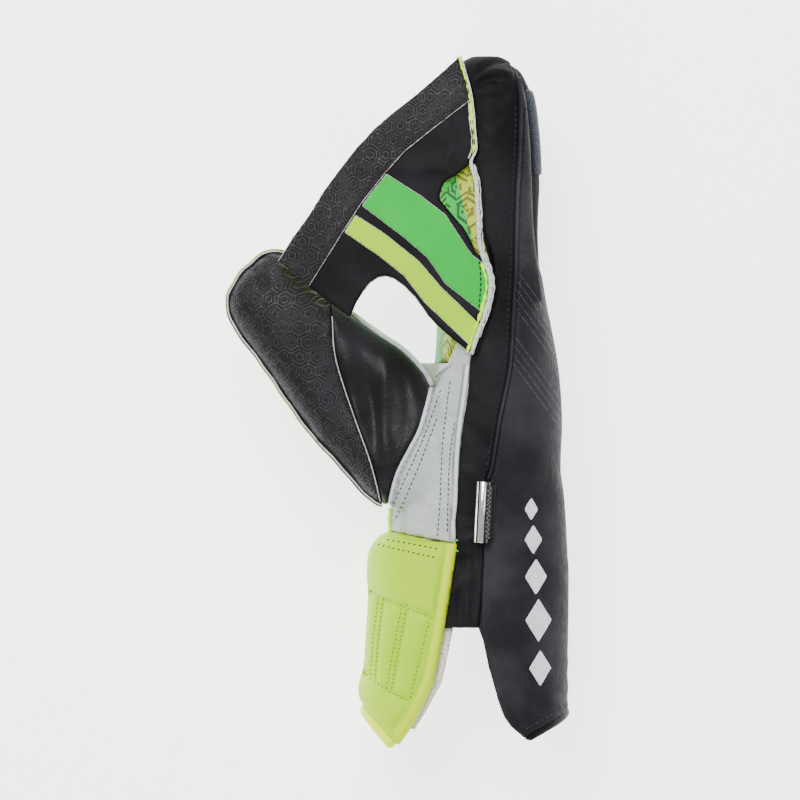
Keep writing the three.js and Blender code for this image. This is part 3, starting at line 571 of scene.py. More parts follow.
def thumb_border(tree, apart):
    """Yellow on the upper edge of the thumb, green below."""
    return ramp(tree, apart[2], 0.0775, 0.0785)


palm_facing, _ = thick_sheet("palm_rubber", points, palm_faces, 4.6, 2.2)
laid(palm_facing, catching_rubber("palm_catching_rubber", palm_border), "catching_rubber", "palm_facing")
thumb_facing, _ = thick_sheet("thumb_rubber", points, thumb_lower, 3, 1.5)
laid(thumb_facing, catching_rubber("thumb_catching_rubber", thumb_border), "catching_rubber", "thumb_facing")

# Strips of thin matt leather close the hand and the fingers between palm and back. They are soft
# and unpadded, so they crease across, most of all between the two cuffs.


def paint(code):
    """A screen colour such as 1e1c1e as the shader takes it."""
    values = [int(code[k:k + 2], 16) / 255 for k in (0, 2, 4)]
    return tuple(v / 12.92 if v < 0.04045 else ((v + 0.055) / 1.055) ** 2.4 for v in values) + (1,)


def leather(name, dark, light, roughness, pore, wrinkle, depth, gloss=1.13):
    """Dyed leather: cloudy colour, pores and fine wrinkles in the bump, and duller hollows."""
    material, tree, shader, where = start_material(name)
    cloud = ramp(tree, noise_at(tree, where, 38, 4), 0.35, 0.65)
    wrinkles = noise_at(tree, where, wrinkle, 8, 0.7, 0.6)
    pores = put(tree, "TexVoronoi", {"Vector": where, "Scale": 1000 / pore}, feature="SMOOTH_F1")["Distance"]
    height = sums(tree, "MULTIPLY_ADD", pores, 0.35, wrinkles)
    tree.links.new(mix(tree, cloud, paint(dark), paint(light)), shader.inputs["Base Color"])
    tree.links.new(ramp(tree, wrinkles, 0.3, 0.7, roughness + 0.1, roughness - 0.06),
                   shader.inputs["Roughness"])
    bumped(tree, shader, height, 0.6, depth)
    shader.inputs["IOR"].default_value = gloss
    return material, tree, shader, where, height


def cut_sheet(piece, held, *rests_on):
    """Works out the size a sheet was cut to: its length and width laid flat, and its area.
    A curved strip, which fills little of its span, gets the width that its area gives. Nothing is kept."""
    _, width, length = np.sort(np.ptp(read_mesh(piece)[0], axis=0)) / 1000
    area = sum(face.area for face in piece.data.polygons) / 2
    if area < 0.4 * width * length:
        width = area / (0.8 * length)


matt_black = leather("matt_black_leather", "121113", "1e1c1f", 0.5, 0.9, 5.0, 0.6)[0]
strip_names = ["side_gusset", "fourchette_1", "fourchette_2", "fourchette_3", "little_finger_gusset"]
strip_surfaces = []
for name, faces in zip(strip_names, strip_faces):
    strip, surface = thick_sheet(name + "_leather", points, faces, 2.2, 1.2)
    laid(strip, matt_black, "matt_leather", name)
    cut_sheet(strip, "stretched", "palm_facing", "back_panel")
    strip_surfaces.append(surface)

# The back is black leather over the hand, the backs of the fingers and the back cuff, padded over
# the knuckles and sewn to the side strips. Rows of fine lines and dots are printed on it.
fold_line = [(41.5, -62), (40.6, -85), (40.4, -103), (44.2, -116), (49.5, -137), (55, -149)]


def cuff_creases(verts, normals, edge):
    """The folded edge of the back cuff, and its soft wrinkles near the hem."""
    fold = off_line(verts, fold_line)
    fold = np.where(verts[:, 2] > 60, fold, 20)
    low = np.clip((-108 - verts[:, 1]) / 30, 0, 1) * (edge > 2)
    waves = np.sin(verts[:, 0] * 0.5 + verts[:, 1] * 0.33) * np.sin(verts[:, 1] * 0.21 - verts[:, 0] * 0.1)
    rise = -0.9 * np.exp(-(fold / 1.2) ** 2) + 0.6 * np.exp(-((fold - 4) / 2.5) ** 2) + 0.45 * low * waves
    return rise * np.clip(edge / 2, 0, 1) * (verts[:, 1] < -55)


def between(value, rise_from, rise_to, fall_from, fall_to):
    """1 where a value lies in a window, with soft ends."""
    return sums(tree, "MULTIPLY", ramp(tree, value, rise_from, rise_to),
                ramp(tree, value, fall_from, fall_to, 1.0, 0.0))


back, back_surface = thick_sheet("back_leather", points, back_faces, 5, 3.0, cuff_creases)
line_apart, dash_length, dot_apart = 2.7, 0.8, 0.9
printed_black, tree, shader, where, height = leather(
    "printed_black_leather", "222124", "333135", 0.45, 0.8, 5.0, 0.8, 1.06)
apart = put(tree, "SeparateXYZ", {0: where})
run = sums(tree, "MULTIPLY_ADD", apart[0], 600, sums(tree, "MULTIPLY", apart[1], -800))
aside = sums(tree, "MULTIPLY_ADD", apart[0], 800, sums(tree, "MULTIPLY", apart[1], 600))
row = ramp(tree, sums(tree, "PINGPONG", aside, line_apart / 2), 0.04, 0.2, 1.0, 0.0)
broken = noise_at(tree, where, 1.6, 3)
dash = sums(tree, "MULTIPLY", ramp(tree, sums(tree, "PINGPONG", run, dash_length / 2), 0.12, 0.24),
            ramp(tree, broken, 0.4, 0.6, 0.25, 1.0))
first = between(aside, 66.0, 67.0, 78.5, 79.5)
second = between(aside, 48.5, 49.5, 60.0, 61.0)
lines = sums(tree, "MULTIPLY", sums(tree, "MULTIPLY", row, dash), sums(tree, "ADD", first, second))
off_dot = sums(tree, "ADD", *(sums(tree, "PINGPONG", way, dot_apart / 2) for way in (run, aside)))
dots = sums(tree, "MULTIPLY", ramp(tree, off_dot, 0.1, 0.25, 1.0, 0.0), ramp(tree, broken, 0.45, 0.6))
window = sums(tree, "MULTIPLY", between(apart[1], 0.053, 0.066, 0.080, 0.094), 0.6)
print_share = sums(tree, "MULTIPLY", sums(tree, "MAXIMUM", lines, sums(tree, "MULTIPLY", dots, window)), 0.55)
leather_colour = shader.inputs["Base Color"].links[0].from_socket
tree.links.new(mix(tree, print_share, leather_colour, paint("8b8b90")), shader.inputs["Base Color"])
laid(back, printed_black, "black_leather", "back_panel", "back_cuff")

# Grey suede covers the heel of the hand. It is one soft skin with its nap outside, with shade painted
# into its colour beside its bindings, and it laps over the front cuff, where it is stitched down.


def mark(piece, name, values):
    """Keeps a value at each point of a piece for its material to read."""
    piece.data.attributes.new(name, "FLOAT", "POINT").data.foreach_set("value", values)


suede, tree, shader, where = start_material("grey_suede")
nap = noise_at(tree, where, 0.55, 5, 0.0, 0.7)
blotch = ramp(tree, noise_at(tree, where, 11, 4, 0.4), 0.35, 0.65)
tone = mix(tree, blotch, paint("a5acac"), paint("bdc4c4"))
tone = mix(tree, ramp(tree, nap, 0.3, 0.75), tone, paint("c6cbcb"))
wrinkles = noise_at(tree, where, 2.2, 7, 1.4, 0.65)
# painted shade: the hollows of the wrinkles are darkened in the colour
tone = mix(tree, ramp(tree, wrinkles, 0.42, 0.56, 0.0, 0.3), tone, paint("8d9494"))
# painted shade: the suede is darkened in a narrow band beside each binding
shade = put(tree, "Attribute", attribute_name="binding_shade")["Fac"]
tree.links.new(mix(tree, shade, tone, paint("4c5557")), shader.inputs["Base Color"])
shader.inputs["Roughness"].default_value = 0.95
shader.inputs["Sheen Weight"].default_value = 0.35
relief = sums(tree, "MULTIPLY_ADD", wrinkles, -2.0, nap)
bumped(tree, shader, relief, 0.8, 0.5)
heel, heel_surface = thick_sheet("suede_heel_panel", points, suede_faces, 2.5, 1.2)
binding_left = [
    (22.4, 16.5), (17.5, 12), (14.6, 6.3), (9.5, -12.4), (4.4, -22.7), (-1.4, -34.4), (-4.9, -49.2),
    (-5.6, -58.5),
]
binding_right = [(31.0, 16), (29.3, 2), (27.1, -14), (25.8, -30), (25.3, -46), (24.4, -56), (24.6, -64)]
# the band of painted shade lies this far beside each binding, and is this wide
shade_beside, shade_half = 1.5, 0.5
places = read_mesh(heel)[0]
beside = np.minimum(off_line(places, [(x + shade_beside, y) for x, y in binding_left]),
                    off_line(places, [(x - shade_beside, y) for x, y in binding_right]))
mark(heel, "binding_shade", 0.8 * np.exp(-(beside / shade_half) ** 2) * (places[:, 2] > 60))
laid(heel, suede, "suede", "suede_heel")
cut_sheet(heel, "stretched", "palm_facing", "front_cuff")

# The upper face of the thumb is a pad of black leather with a maze stamped into it, and soft smooth
# leather up to the hand. Both are sewn to the rubber on the other face.


def embossed_leather(name, rim_of):
    """Black leather with the maze stamped into it and its raised lines painted lighter as a highlight; its
    cut edge shows white where rim_of is small.
    """
    material, tree, shader, where = start_material(name)
    apart = put(tree, "SeparateXYZ", {0: where})
    maze = hexagon_maze(tree, sums(tree, "ADD", apart[0], apart[2]), apart[1], 7.6, 1.5, 0.38)
    grain = noise_at(tree, where, 1.1, 5)
    tone = mix(tree, ramp(tree, noise_at(tree, where, 16), 0.3, 0.7), paint("161517"), paint("232124"))
    # painted highlight: the maze's raised lines are painted lighter than the ground
    tone = mix(tree, maze, tone, paint("343135"))
    rim = ramp(tree, put(tree, "Attribute", attribute_name=rim_of)["Fac"], 0.3, 0.45)
    tree.links.new(mix(tree, rim, paint("d8d8d6"), tone), shader.inputs["Base Color"])
    tree.links.new(ramp(tree, maze, 0.0, 1.0, 0.55, 0.32), shader.inputs["Roughness"])
    lift = sums(tree, "MULTIPLY_ADD", grain, 0.15, maze)
    bumped(tree, shader, lift, 1.0, 1.3)
    shader.inputs["IOR"].default_value = 1.24
    return material


pad, _ = thick_sheet("embossed_thumb_pad", points, pad_faces, 3, 1.5)
mark(pad, "border", off_line(read_mesh(pad)[0], [(x, y) for y, x in smooth_rows(pad_line, 4)]))
laid(pad, embossed_leather("embossed_pad_leather", "border"), "embossed_leather", "thumb_pad")
thumb_back, _ = thick_sheet("soft_thumb_leather", points, thumb_back_faces, 3, 1.5)
smooth_black = leather("smooth_black_leather", "171618", "242226", 0.34, 0.7, 7.0, 0.4, 1.2)[0]
laid(thumb_back, smooth_black, "black_leather", "thumb_back")
cut_sheet(thumb_back, "stretched", "thumb_pad", "thumb_facing")

# A thin rolled binding of pale leather closes each long side of the suede. Four rows of grey-green
# thread run down between them.


def from_above(surface, x, y):
    """The first place on a surface below a point, and the way it faces there."""
    hit, normal, _, _ = surface.ray_cast(Vector((x, y, 300)), Vector((0, 0, -1)))
    return (np.array(hit), np.array(normal)) if hit else (None, None)


def along(table, pitch):
    """Points a pitch apart along a smooth line through the table's rows."""
    rows = smooth_rows(table, 12)
    run = np.concatenate([[0], np.cumsum(np.linalg.norm(np.diff(rows, axis=0), axis=1))])
    stops = np.linspace(0, run[-1], max(2, int(run[-1] / pitch) + 1))
    return np.column_stack([np.interp(stops, run, rows[:, k]) for k in range(rows.shape[1])])


def stitches(name, surface, lines, pitch, length, radius, sink):
    """Short plump stitches of thread laid along lines on a surface, seen from above."""
    verts, faces = [], []
    turn = np.arange(6) * np.pi / 3
    for line in lines:
        stops = along(line, pitch)
        for k, stop in enumerate(stops[:-1]):
            place, normal = from_above(surface, *stop[:2])
            if place is None:
                continue
            way = stops[k + 1] - stop
            way = np.array([way[0], way[1], 0]) / np.linalg.norm(way)
            way -= normal * (way @ normal)
            way /= np.linalg.norm(way)
            aside = np.cross(normal, way)
            centre = place + normal * (radius - sink)
            start = len(verts)
            for share, fat in ((-0.5, 0.45), (-0.25, 0.95), (0.25, 0.95), (0.5, 0.45)):
                for angle in turn:
                    verts.append(centre + way * share * length - normal * abs(share) * 0.5 * radius
                                 + fat * radius * (aside * math.cos(angle) + normal * math.sin(angle)))
            for ring in range(3):
                for s in range(6):
                    a, b = start + ring * 6 + s, start + ring * 6 + (s + 1) % 6
                    faces.append((a, b, b + 6, a + 6))
            faces.append(tuple(range(start, start + 6))[::-1])
            faces.append(tuple(range(start + 18, start + 24)))
    piece = mesh_object(name, verts, faces)
    piece.data.shade_smooth()
    return piece


def thread(name, code):
    """Twisted sewing thread."""
    material, tree, shader, where = start_material(name)
    twist = put(tree, "TexWave", {"Vector": where, "Scale": 900.0, "Distortion": 2.0},
                bands_direction="DIAGONAL")["Fac"]
    shaded = tuple(0.55 * v for v in paint(code)[:3]) + (1,)
    tree.links.new(mix(tree, twist, paint(code), shaded), shader.inputs["Base Color"])
    shader.inputs["Roughness"].default_value = 0.7
    bumped(tree, shader, twist, 0.5, 0.1)
    return material


def tube(name, path, wide, high=None, sides=10, lift=(0, 0, 1)):
    """A soft round or flattened strip along points, with closed ends."""
    path = np.asarray(path, float)
    wide = np.broadcast_to(wide, len(path))
    high = wide if high is None else np.broadcast_to(high, len(path))
    way = np.gradient(path, axis=0)
    way /= np.linalg.norm(way, axis=1, keepdims=True)
    up = np.broadcast_to(np.asarray(lift, float), path.shape)
    up = up - way * (up * way).sum(axis=1, keepdims=True)
    up /= np.linalg.norm(up, axis=1, keepdims=True)
    side = np.cross(up, way)
    turn = np.arange(sides) * 2 * np.pi / sides
    ends = np.ones(len(path))
    ends[[0, -1]] = 0.55
    rings = []
    for k, place in enumerate(path):
        ring = wide[k] * np.outer(np.cos(turn), side[k]) + high[k] * np.outer(np.sin(turn), up[k])
        rings.append(place + ends[k] * ring)
    piece = mesh_object(name, *loft(rings))
    mesh = bmesh.new()
    mesh.from_mesh(piece.data)
    bmesh.ops.recalc_face_normals(mesh, faces=mesh.faces)
    mesh.to_mesh(piece.data)
    mesh.free()
    piece.data.shade_smooth()
    return piece


def lying(surface, table, pitch, lift):
    """Points on a surface below a line that is seen from above, and the surface's normals there."""
    places, normals = [], []
    for x, y in along(table, pitch):
        place, normal = from_above(surface, x, y)
        if place is not None:
            places.append(place + normal * lift)
            normals.append(normal)
    return np.array(places), np.array(normals)


view_middle, view_scale = 400, 0.46


def px(pairs):
    """Points seen from above, from their places in a view of the glove with 800 by 800 fields."""
    return [((x - view_middle) * view_scale, (view_middle - y) * view_scale) for x, y in pairs]


binding_leather = leather("pale_binding_leather", "b9c2c6", "d3dadd", 0.6, 0.8, 4.0, 0.2)[0]
for name, line in (("suede_binding_left", binding_left), ("suede_binding_right", binding_right)):
    path, normals = lying(heel_surface, line, 1.2, 0.25)
    binding = tube(name, path, 0.95, 0.6, 8, normals)
    laid(binding, binding_leather, "suede")
suede_rows = [
    px([(440, 392), (424, 436), (408, 472), (392, 507)]), px([(436, 420), (419, 465), (395, 522)]),
    px([(450, 383), (445, 420), (442, 449), (440, 500), (437, 539)]),
    px([(454, 424), (449, 466), (447, 534)]),
]
suede_thread = stitches("suede_stitching", heel_surface, suede_rows, 2.3, 1.6, 0.27, 0.1)
laid(suede_thread, thread("grey_green_thread", "30362f"), "suede")

# The thumb's upper edge has a thin strip of grey suede. It is folded once and sewn into the seam
# between the two faces of the thumb.
thumb_all = np.vstack([pad_faces, thumb_back_faces, thumb_lower])
thumb_skin = BVHTree.FromPolygons(points.tolist(), thumb_all.tolist())


def outer_edge(line, middle):
    """The thumb's edge as seen from above near a line, and the direction out from the middle there."""
    places, away = [], []
    for x, y in line:
        out = np.array([x, y]) - middle
        out /= np.linalg.norm(out)
        last = None
        for step in np.arange(-6, 6, 0.3):
            place, _ = from_above(thumb_skin, x + out[0] * step, y + out[1] * step)
            if place is not None:
                last = place
        if last is not None:
            places.append(last)
            away.append([*out, 0])
    places = np.array(places)
    even = np.ones(7) / 7
    places = np.column_stack([np.convolve(np.pad(places[:, k], 3, "edge"), even, "valid") for k in range(3)])
    return places, np.array(away)


edging_rows = [(-23, 40.6), (-14.2, 32.5), (-7.1, 28), (0.8, 22), (9.5, 13.3), (14.6, 6.0)]
edge_places, edge_away = outer_edge(along(edging_rows, 1.0), (-20.0, -10.0))
edging = tube("thumb_edge_strip", edge_places + edge_away * 0.8 + [0, 0, -1.0], 1.3, 1.5)
laid(edging, suede, "suede", "thumb_edging")

# Between thumb and palm hangs a small gusset of suede. Its olive-grey colour, darker than the heel's,
# is painted shade of the deep gap it lies in. It closes the end of the seam, and is caught in the stitching
# of both.


def grid_faces(rows, columns):
    """Two triangles for each field of a grid of points that is written row by row."""
    corner = (np.arange(rows - 1)[:, None] * columns + np.arange(columns - 1)).ravel()
    return np.vstack([np.column_stack([corner, corner + 1, corner + columns + 1]),
                      np.column_stack([corner, corner + columns + 1, corner + columns])])


gusset_fields = 32
gusset_x, gusset_y = np.meshgrid(np.linspace(4, 26, gusset_fields), np.linspace(-6, 17, gusset_fields))
gusset_points = np.column_stack([gusset_x.ravel(), gusset_y.ravel(),
                                 79 + 0.10 * (gusset_y.ravel() - 17) + 0.02 * (gusset_x.ravel() - 16) ** 2])
thumb_gusset, _ = thick_sheet("suede_thumb_gusset", gusset_points,
                              grid_faces(gusset_fields, gusset_fields), 2, 1)
# painted shade: this suede is coloured darker and greener than the heel's grey suede
gap_suede_shaded, tree, shader, where = start_material("gap_suede_painted_shade")
nap = noise_at(tree, where, 0.6, 5, 0.0, 0.7)
tree.links.new(mix(tree, ramp(tree, nap, 0.3, 0.7), paint("8a9085"), paint("a6aca0")),
               shader.inputs["Base Color"])
shader.inputs["Roughness"].default_value = 0.95
bumped(tree, shader, nap, 0.6, 0.3)
laid(thumb_gusset, gap_suede_shaded, "suede")
cut_sheet(thumb_gusset, "hung", "suede_heel", "thumb_facing")

# The two faces of the thumb are sewn together at a flat outer edge. Its cut layers show there:
# black leather, a thin white core and the yellow rim of the rubber.


def edged(name, base, rim, width, roughness=0.5, rim_of="edge"):
    """Coated leather whose cut edge shows white."""
    material, tree, shader, where = start_material(name)
    edge = put(tree, "Attribute", attribute_name=rim_of)["Fac"]
    cloud = ramp(tree, noise_at(tree, where, 30, 4), 0.35, 0.65)
    fine = noise_at(tree, where, 1.3, 5)
    face = mix(tree, cloud, base[0], base[1])
    tree.links.new(mix(tree, ramp(tree, edge, width, width + 0.12), paint(rim), face),
                   shader.inputs["Base Color"])
    tree.links.new(ramp(tree, fine, 0.3, 0.7, roughness + 0.06, roughness - 0.06), shader.inputs["Roughness"])
    bumped(tree, shader, fine, 0.35, 0.15)
    shader.inputs["IOR"].default_value = 1.13
    return material, tree, shader


rim_rows = px([(383, 505), (372, 493), (350, 465), (325, 433), (296, 397), (268, 361), (246, 330), (230, 306),
               (227, 292), (230, 281), (240, 274), (252, 270), (256, 264), (256, 256), (264, 249), (277, 246),
               (290, 246)])
rim_places, rim_away = outer_edge(along(rim_rows, 1.0), (-30.0, 22.0))
waves = np.sin(np.arange(len(rim_places)) * 0.31) * np.cos(np.arange(len(rim_places)) * 0.17)
edge_white = thread("white_cut_edge", "dcdcda")
yellow_edge = edged("yellow_edge_leather", ((0.5, 0.8, 0.0, 1), (0.42, 0.7, 0.0, 1)), "d4ff1e", 0.2)[0]
rim_layers = [
    # name, how far out, how high, half width, half height, material
    ("thumb_edge_black", 0.2, 1.0, 1.5, 0.9, matt_black),
    ("thumb_edge_white", 0.9, 1.75, 0.4, 0.4, edge_white),
    ("thumb_edge_yellow", 1.1, -0.8, 1.0, 0.9, yellow_edge),
]
for name, out, rise, half, tall, finish in rim_layers:
    path = rim_places + rim_away * (out + 0.35 * waves)[:, None] + [0, 0, rise]
    laid(tube(name, path, half, tall, 8), finish, "embossed_leather")

# The embossed pad ends in a cut edge, whose white core shows as a thin line where the soft leather
# is sewn under it.
pad_rim_path, pad_rim_normals = lying(thumb_skin, [(x, y) for y, x in pad_line[1:-1]], 1.0, 0.1)
pad_rim = tube("thumb_pad_white_edge", pad_rim_path, 0.2, 0.4, 8, pad_rim_normals)
laid(pad_rim, edge_white, "embossed_leather")

# The web hangs from the forefinger's seam to over the thumb: black leather on a yellow facing, with a
# drop-shaped opening. Two bright stripes and an embossed band are sewn on, all with white cut edges.
seam_rows = [
    (27.4, 157.6), (30.6, 147), (32.9, 136.6), (34, 125), (34.7, 114.5), (32.4, 108.4), (34.6, 100.5),
    (35.4, 90), (35.8, 79.6), (36.4, 71), (39.3, 61.8), (41.5, 54.6), (40.4, 45), (37.6, 36), (34.6, 27.6),
    (32.6, 20.7),
]
web_outline = [
    (27.2, 157), (16, 147), (5.1, 137.6), (-3.6, 131), (-11.8, 123.9), (-20, 115), (-27.6, 105.3),
    (-35, 95.3), (-41.5, 84.6), (-49, 74.2), (-55.7, 63.5), (-41.5, 51.8), (-32, 44.4), (-22.8, 37.7),
    (-20.2, 44), (-16.9, 49.4), (-13.6, 53.4), (-9.8, 55.9), (-6.3, 56.4), (-2.8, 55.3), (1.8, 52),
    (6.6, 47.1), (9.4, 43.2), (12.4, 38.9), (16.3, 34.6), (20.7, 30.6), (26, 26.3), (31.7, 21.9),
    (45, 21.9), (45, 157.5),
]
web_hole = [
    (33.4, 107.5), (30.8, 106.7), (25.3, 102.1), (20.7, 99.8), (18.4, 95.2), (18.2, 91.5), (20.7, 88.3),
    (25.4, 82.6), (29, 78.7), (32.5, 72.5), (35.9, 66.2), (45, 66.2), (45, 107.5),
]
band_line = [
    (38, 143.7), (31.3, 136), (23, 129.7), (14.6, 123.3), (8.3, 118.3), (2, 113.3), (-6.5, 103.8),
    (-12.3, 96.4), (-18.1, 89), (-25.8, 77), (-33.6, 64.4), (-41.5, 51.8), (-70, 51.8), (-70, 175), (60, 175),
]
green_lines = [
    (-6.4, 103.5), (10.1, 92.9), (20.7, 84.6), (29, 71.8), (33, 66.2), (37.7, 62.6), (44, 58),
    (44, 36), (35.4, 41.4), (20.7, 52.9), (12.4, 64.9), (1.8, 74.1), (-17.5, 88.8),
]
yellow_lines = [
    (-20.2, 84.6), (-7.4, 76.4), (8.7, 63.5), (18.4, 52), (34.5, 36.3), (44, 28), (44, 16), (31.3, 25.3),
    (11, 44.6), (1.8, 56.6), (-9.7, 65.8), (-25.8, 76.8),
]
web_step = 0.8


def web_height(x, y):
    """The web sags between its seam and the thumb, and drops towards its tip."""
    beyond = (line_at(palm_seam, y) - x) / 92 - 0.12
    out = np.clip(beyond / 0.88, 0, 1)
    tip = np.clip(((y - 21.75) / 134 - 0.86) / 0.16, 0, 1)
    ripple = 0.35 * np.sin(x * 0.16 + y * 0.05) * out + 0.5 * np.exp(-((y - 64 + 0.5 * x) / 7) ** 2) * out
    return 107.55 - 3.2 * out - 12 * out * (1 - out) - 4 * tip * tip * (3 - 2 * tip) + ripple


xs, ys = np.arange(-62, 46, web_step), np.arange(14, 164, web_step)
grid_x, grid_y = np.meshgrid(xs, ys)
web_points = np.column_stack([grid_x.ravel(), grid_y.ravel(), np.zeros(grid_x.size)])
web_points[:, 2] = web_height(web_points[:, 0], web_points[:, 1])
web_points, web_faces, _ = part(web_points, grid_faces(len(ys), len(xs)), inside(web_outline, web_points))
web_points, web_faces, _ = part(
    web_points, web_faces,
    line_at([(y, x) for x, y in seam_rows[::-1]], web_points[:, 1]) - web_step - web_points[:, 0])
hole_line = smooth_rows([*web_hole, web_hole[0]], 3)[:-1]
web_points, web_faces, _ = part(web_points, web_faces, -inside(hole_line, web_points))


def web_layer(name, keep, lift, thickness, puff=0.0):
    """One sheet of the web, lifted over the ones below and cut to the outlines in keep."""
    verts, faces = web_points, web_faces
    for outline, sign, shrink in keep:
        verts, faces, _ = part(verts, faces, sign * inside(outline, verts) - shrink)
    raised = verts + np.array([0, 0, lift])
    return thick_sheet(name, raised, faces, thickness, thickness * 0.6,
                       lambda v, n, edge: puff * np.clip(edge / 3, 0, 1))


facing, _ = web_layer("web_yellow_facing", [], 1.2, 1.2)
facing_yellow = edged("yellow_facing_leather", ((0.48, 0.74, 0.0, 1), (0.42, 0.66, 0.0, 1)), "d4ff1e", 0.2)[0]
laid(facing, facing_yellow, "bright_yellow", "web_facing")
cut_sheet(facing, "hung", "palm_facing", "thumb_pad")
web, _ = web_layer("web_leather", [], 3.75, 2.2)
web_black = edged("web_black_leather", (paint("131214"), paint("1d1b1f")), "c9cbc8", 0.3, 0.45, "border")[0]
mark(web, "border", np.minimum(off_line(read_mesh(web)[0], web_outline[7:11]),
                               off_line(read_mesh(web)[0], web_outline[15:24])))
laid(web, web_black, "black_leather", "web")
cut_sheet(web, "hung", "palm_facing", "thumb_pad")
band, band_surface = web_layer("web_embossed_band", [(band_line, 1, 0)], 5.3, 1.2, 0.3)
mark(band, "border", np.minimum(off_line(read_mesh(band)[0], band_line[:12]),
                                off_line(read_mesh(band)[0], web_outline[7:11]) + 0.15))
laid(band, embossed_leather("embossed_band_leather", "border"), "embossed_leather", "web_band")
cut_sheet(band, "laid", "web")
stripes = [
    # name, outline, colours of the coating, slot
    ("green", green_lines, ((0.0, 0.43, 0.04, 1), (0.0, 0.39, 0.035, 1)), "bright_green"),
    ("yellow", yellow_lines, ((0.36, 0.66, 0.0, 1), (0.33, 0.61, 0.0, 1)), "bright_yellow"),
]
stripe_surfaces = []
for name, outline, coating, slot_name in stripes:
    stripe, surface = web_layer("web_%s_stripe" % name, [(outline, 1, 0), (band_line, -1, 0.5)], 4.9, 0.8)
    laid(stripe, edged(name + "_coated_leather", coating, "f4f4ee", 0.12)[0], slot_name, "web_stripe_" + name)
    cut_sheet(stripe, "laid", "web")
    stripe_surfaces.append(surface)
band_rows = [[(x - 1.6, y + 1.8) for x, y in band_line[1:12]],
             [(x + 1.5, y - 1.6) for x, y in web_outline[1:11]]]
web_thread = stitches("web_stitching", band_surface, band_rows, 2.2, 1.5, 0.22, 0.1)
laid(web_thread, thread("black_thread", "1c1b1d"), "black_leather")

# Web, palm and side strip are sewn together in one upright seam. Its cut edge is white foam laminate
# between cloths, with the yellow facing and thin white layers beside it.
laminate, tree, shader, where = start_material("white_laminate_edge")
layers = put(tree, "TexWave", {"Vector": where, "Scale": 260.0, "Distortion": 3.0, "Detail": 2.0},
             bands_direction="X")["Fac"]
fuzz = noise_at(tree, where, 1.2, 5, 0.5)
tone = mix(tree, ramp(tree, layers, 0.25, 0.5), paint("747873"), paint("bcc2ba"))
tree.links.new(mix(tree, ramp(tree, fuzz, 0.35, 0.6), tone, paint("d6dad4")), shader.inputs["Base Color"])
shader.inputs["Roughness"].default_value = 0.85
bumped(tree, shader, sums(tree, "ADD", layers, fuzz), 0.6, 0.3)
seam_path = np.array([(x, y, float(web_height(x, y)) + 3.2) for x, y in along(seam_rows, 0.9)])
narrow = 0.55 + 0.45 * np.clip((112 - seam_path[:, 1]) / 6, 0, 1)
swell = narrow * (1.0 + 0.3 * np.exp(-((seam_path[:, 1] - 56) / 9) ** 2)
                  + 0.08 * np.sin(seam_path[:, 1] * 0.5))
seam = tube("laminated_seam_edge", seam_path, 1.05 * swell, 1.7 * swell, 12)
laid(seam, laminate, "white_laminate", "seam_edge")
laminate_layers = [
    # name, from y, to y, how far from the strip, lowest and highest half width, height, material, slot
    ("lower_yellow_layer", 21, 63, -2.1, 0.3, 0.9, 1.7, yellow_edge, "bright_yellow"),
    ("upper_yellow_layer", 112, 157, -1.0, 0.05, 0.8, 1.2, yellow_edge, "bright_yellow"),
    ("upper_white_layer", 110, 157, -1.9, 0.25, 0.4, 0.8, laminate, "white_laminate"),
    ("lower_white_layer", 28, 108, 1.5, 0.25, 0.5, -0.2, laminate, "white_laminate"),
]
for name, start, end, offset, least, most, rise, finish, slot_name in laminate_layers:
    some = seam_path[(seam_path[:, 1] > start) & (seam_path[:, 1] < end)]
    run = some[:, 1]
    aside = offset + 0.25 * np.sin(run * 0.9) * np.cos(run * 0.37)
    wander = np.column_stack([aside, 0 * run, np.full(len(run), rise)])
    share = np.clip(0.5 + 0.9 * np.sin(run * 0.55) * np.sin(run * 0.83 + 1), 0, 1)
    layer = tube(name, some + wander, least + (most - least) * share, 0.9, 8)
    laid(layer, finish, slot_name)

# At the wrist a yellow cut edge shows beside the suede, and two green knots of thread end its seam.
# The side strip's leather is turned up against the laminate, and black thread ends the green stripe.
wrist_rows = px([(389.2, 508), (389.8, 514), (388.9, 520), (389.6, 527), (388.9, 535)])
wrist_layer_height = 86
wrist_path = [(x, y, wrist_layer_height) for x, y in along(wrist_rows, 0.8)]
wrist_layer = tube("wrist_yellow_layer", wrist_path, 0.7, 2.0, 8)
laid(wrist_layer, yellow_edge, "bright_yellow")
knot_rows = [px([(457.0, 539.6), (459.4, 540.2)]), px([(457.2, 550), (459.6, 550.6)])]
knots = stitches("wrist_green_knots", strip_surfaces[0], knot_rows, 1.6, 1.6, 0.5, 0.1)
laid(knots, thread("green_thread", "3fd24a"), "bright_green")
turned_rows = [(x + 2.6, y) for x, y in seam_rows if y < 112]
turned_path, turned_normals = lying(strip_surfaces[0], turned_rows, 1.2, 0.3)
turned = tube("turned_leather_edge", turned_path, 0.7, 1.0, 8, turned_normals)
laid(turned, matt_black, "matt_leather")
end_rows = [px([(479, 264), (480, 285), (478, 312)])]
end_thread = stitches("stripe_end_stitching", stripe_surfaces[0], end_rows, 2.4, 1.7, 0.35, 0.1)
laid(end_thread, thread("stripe_black_thread", "121113"), "bright_green")
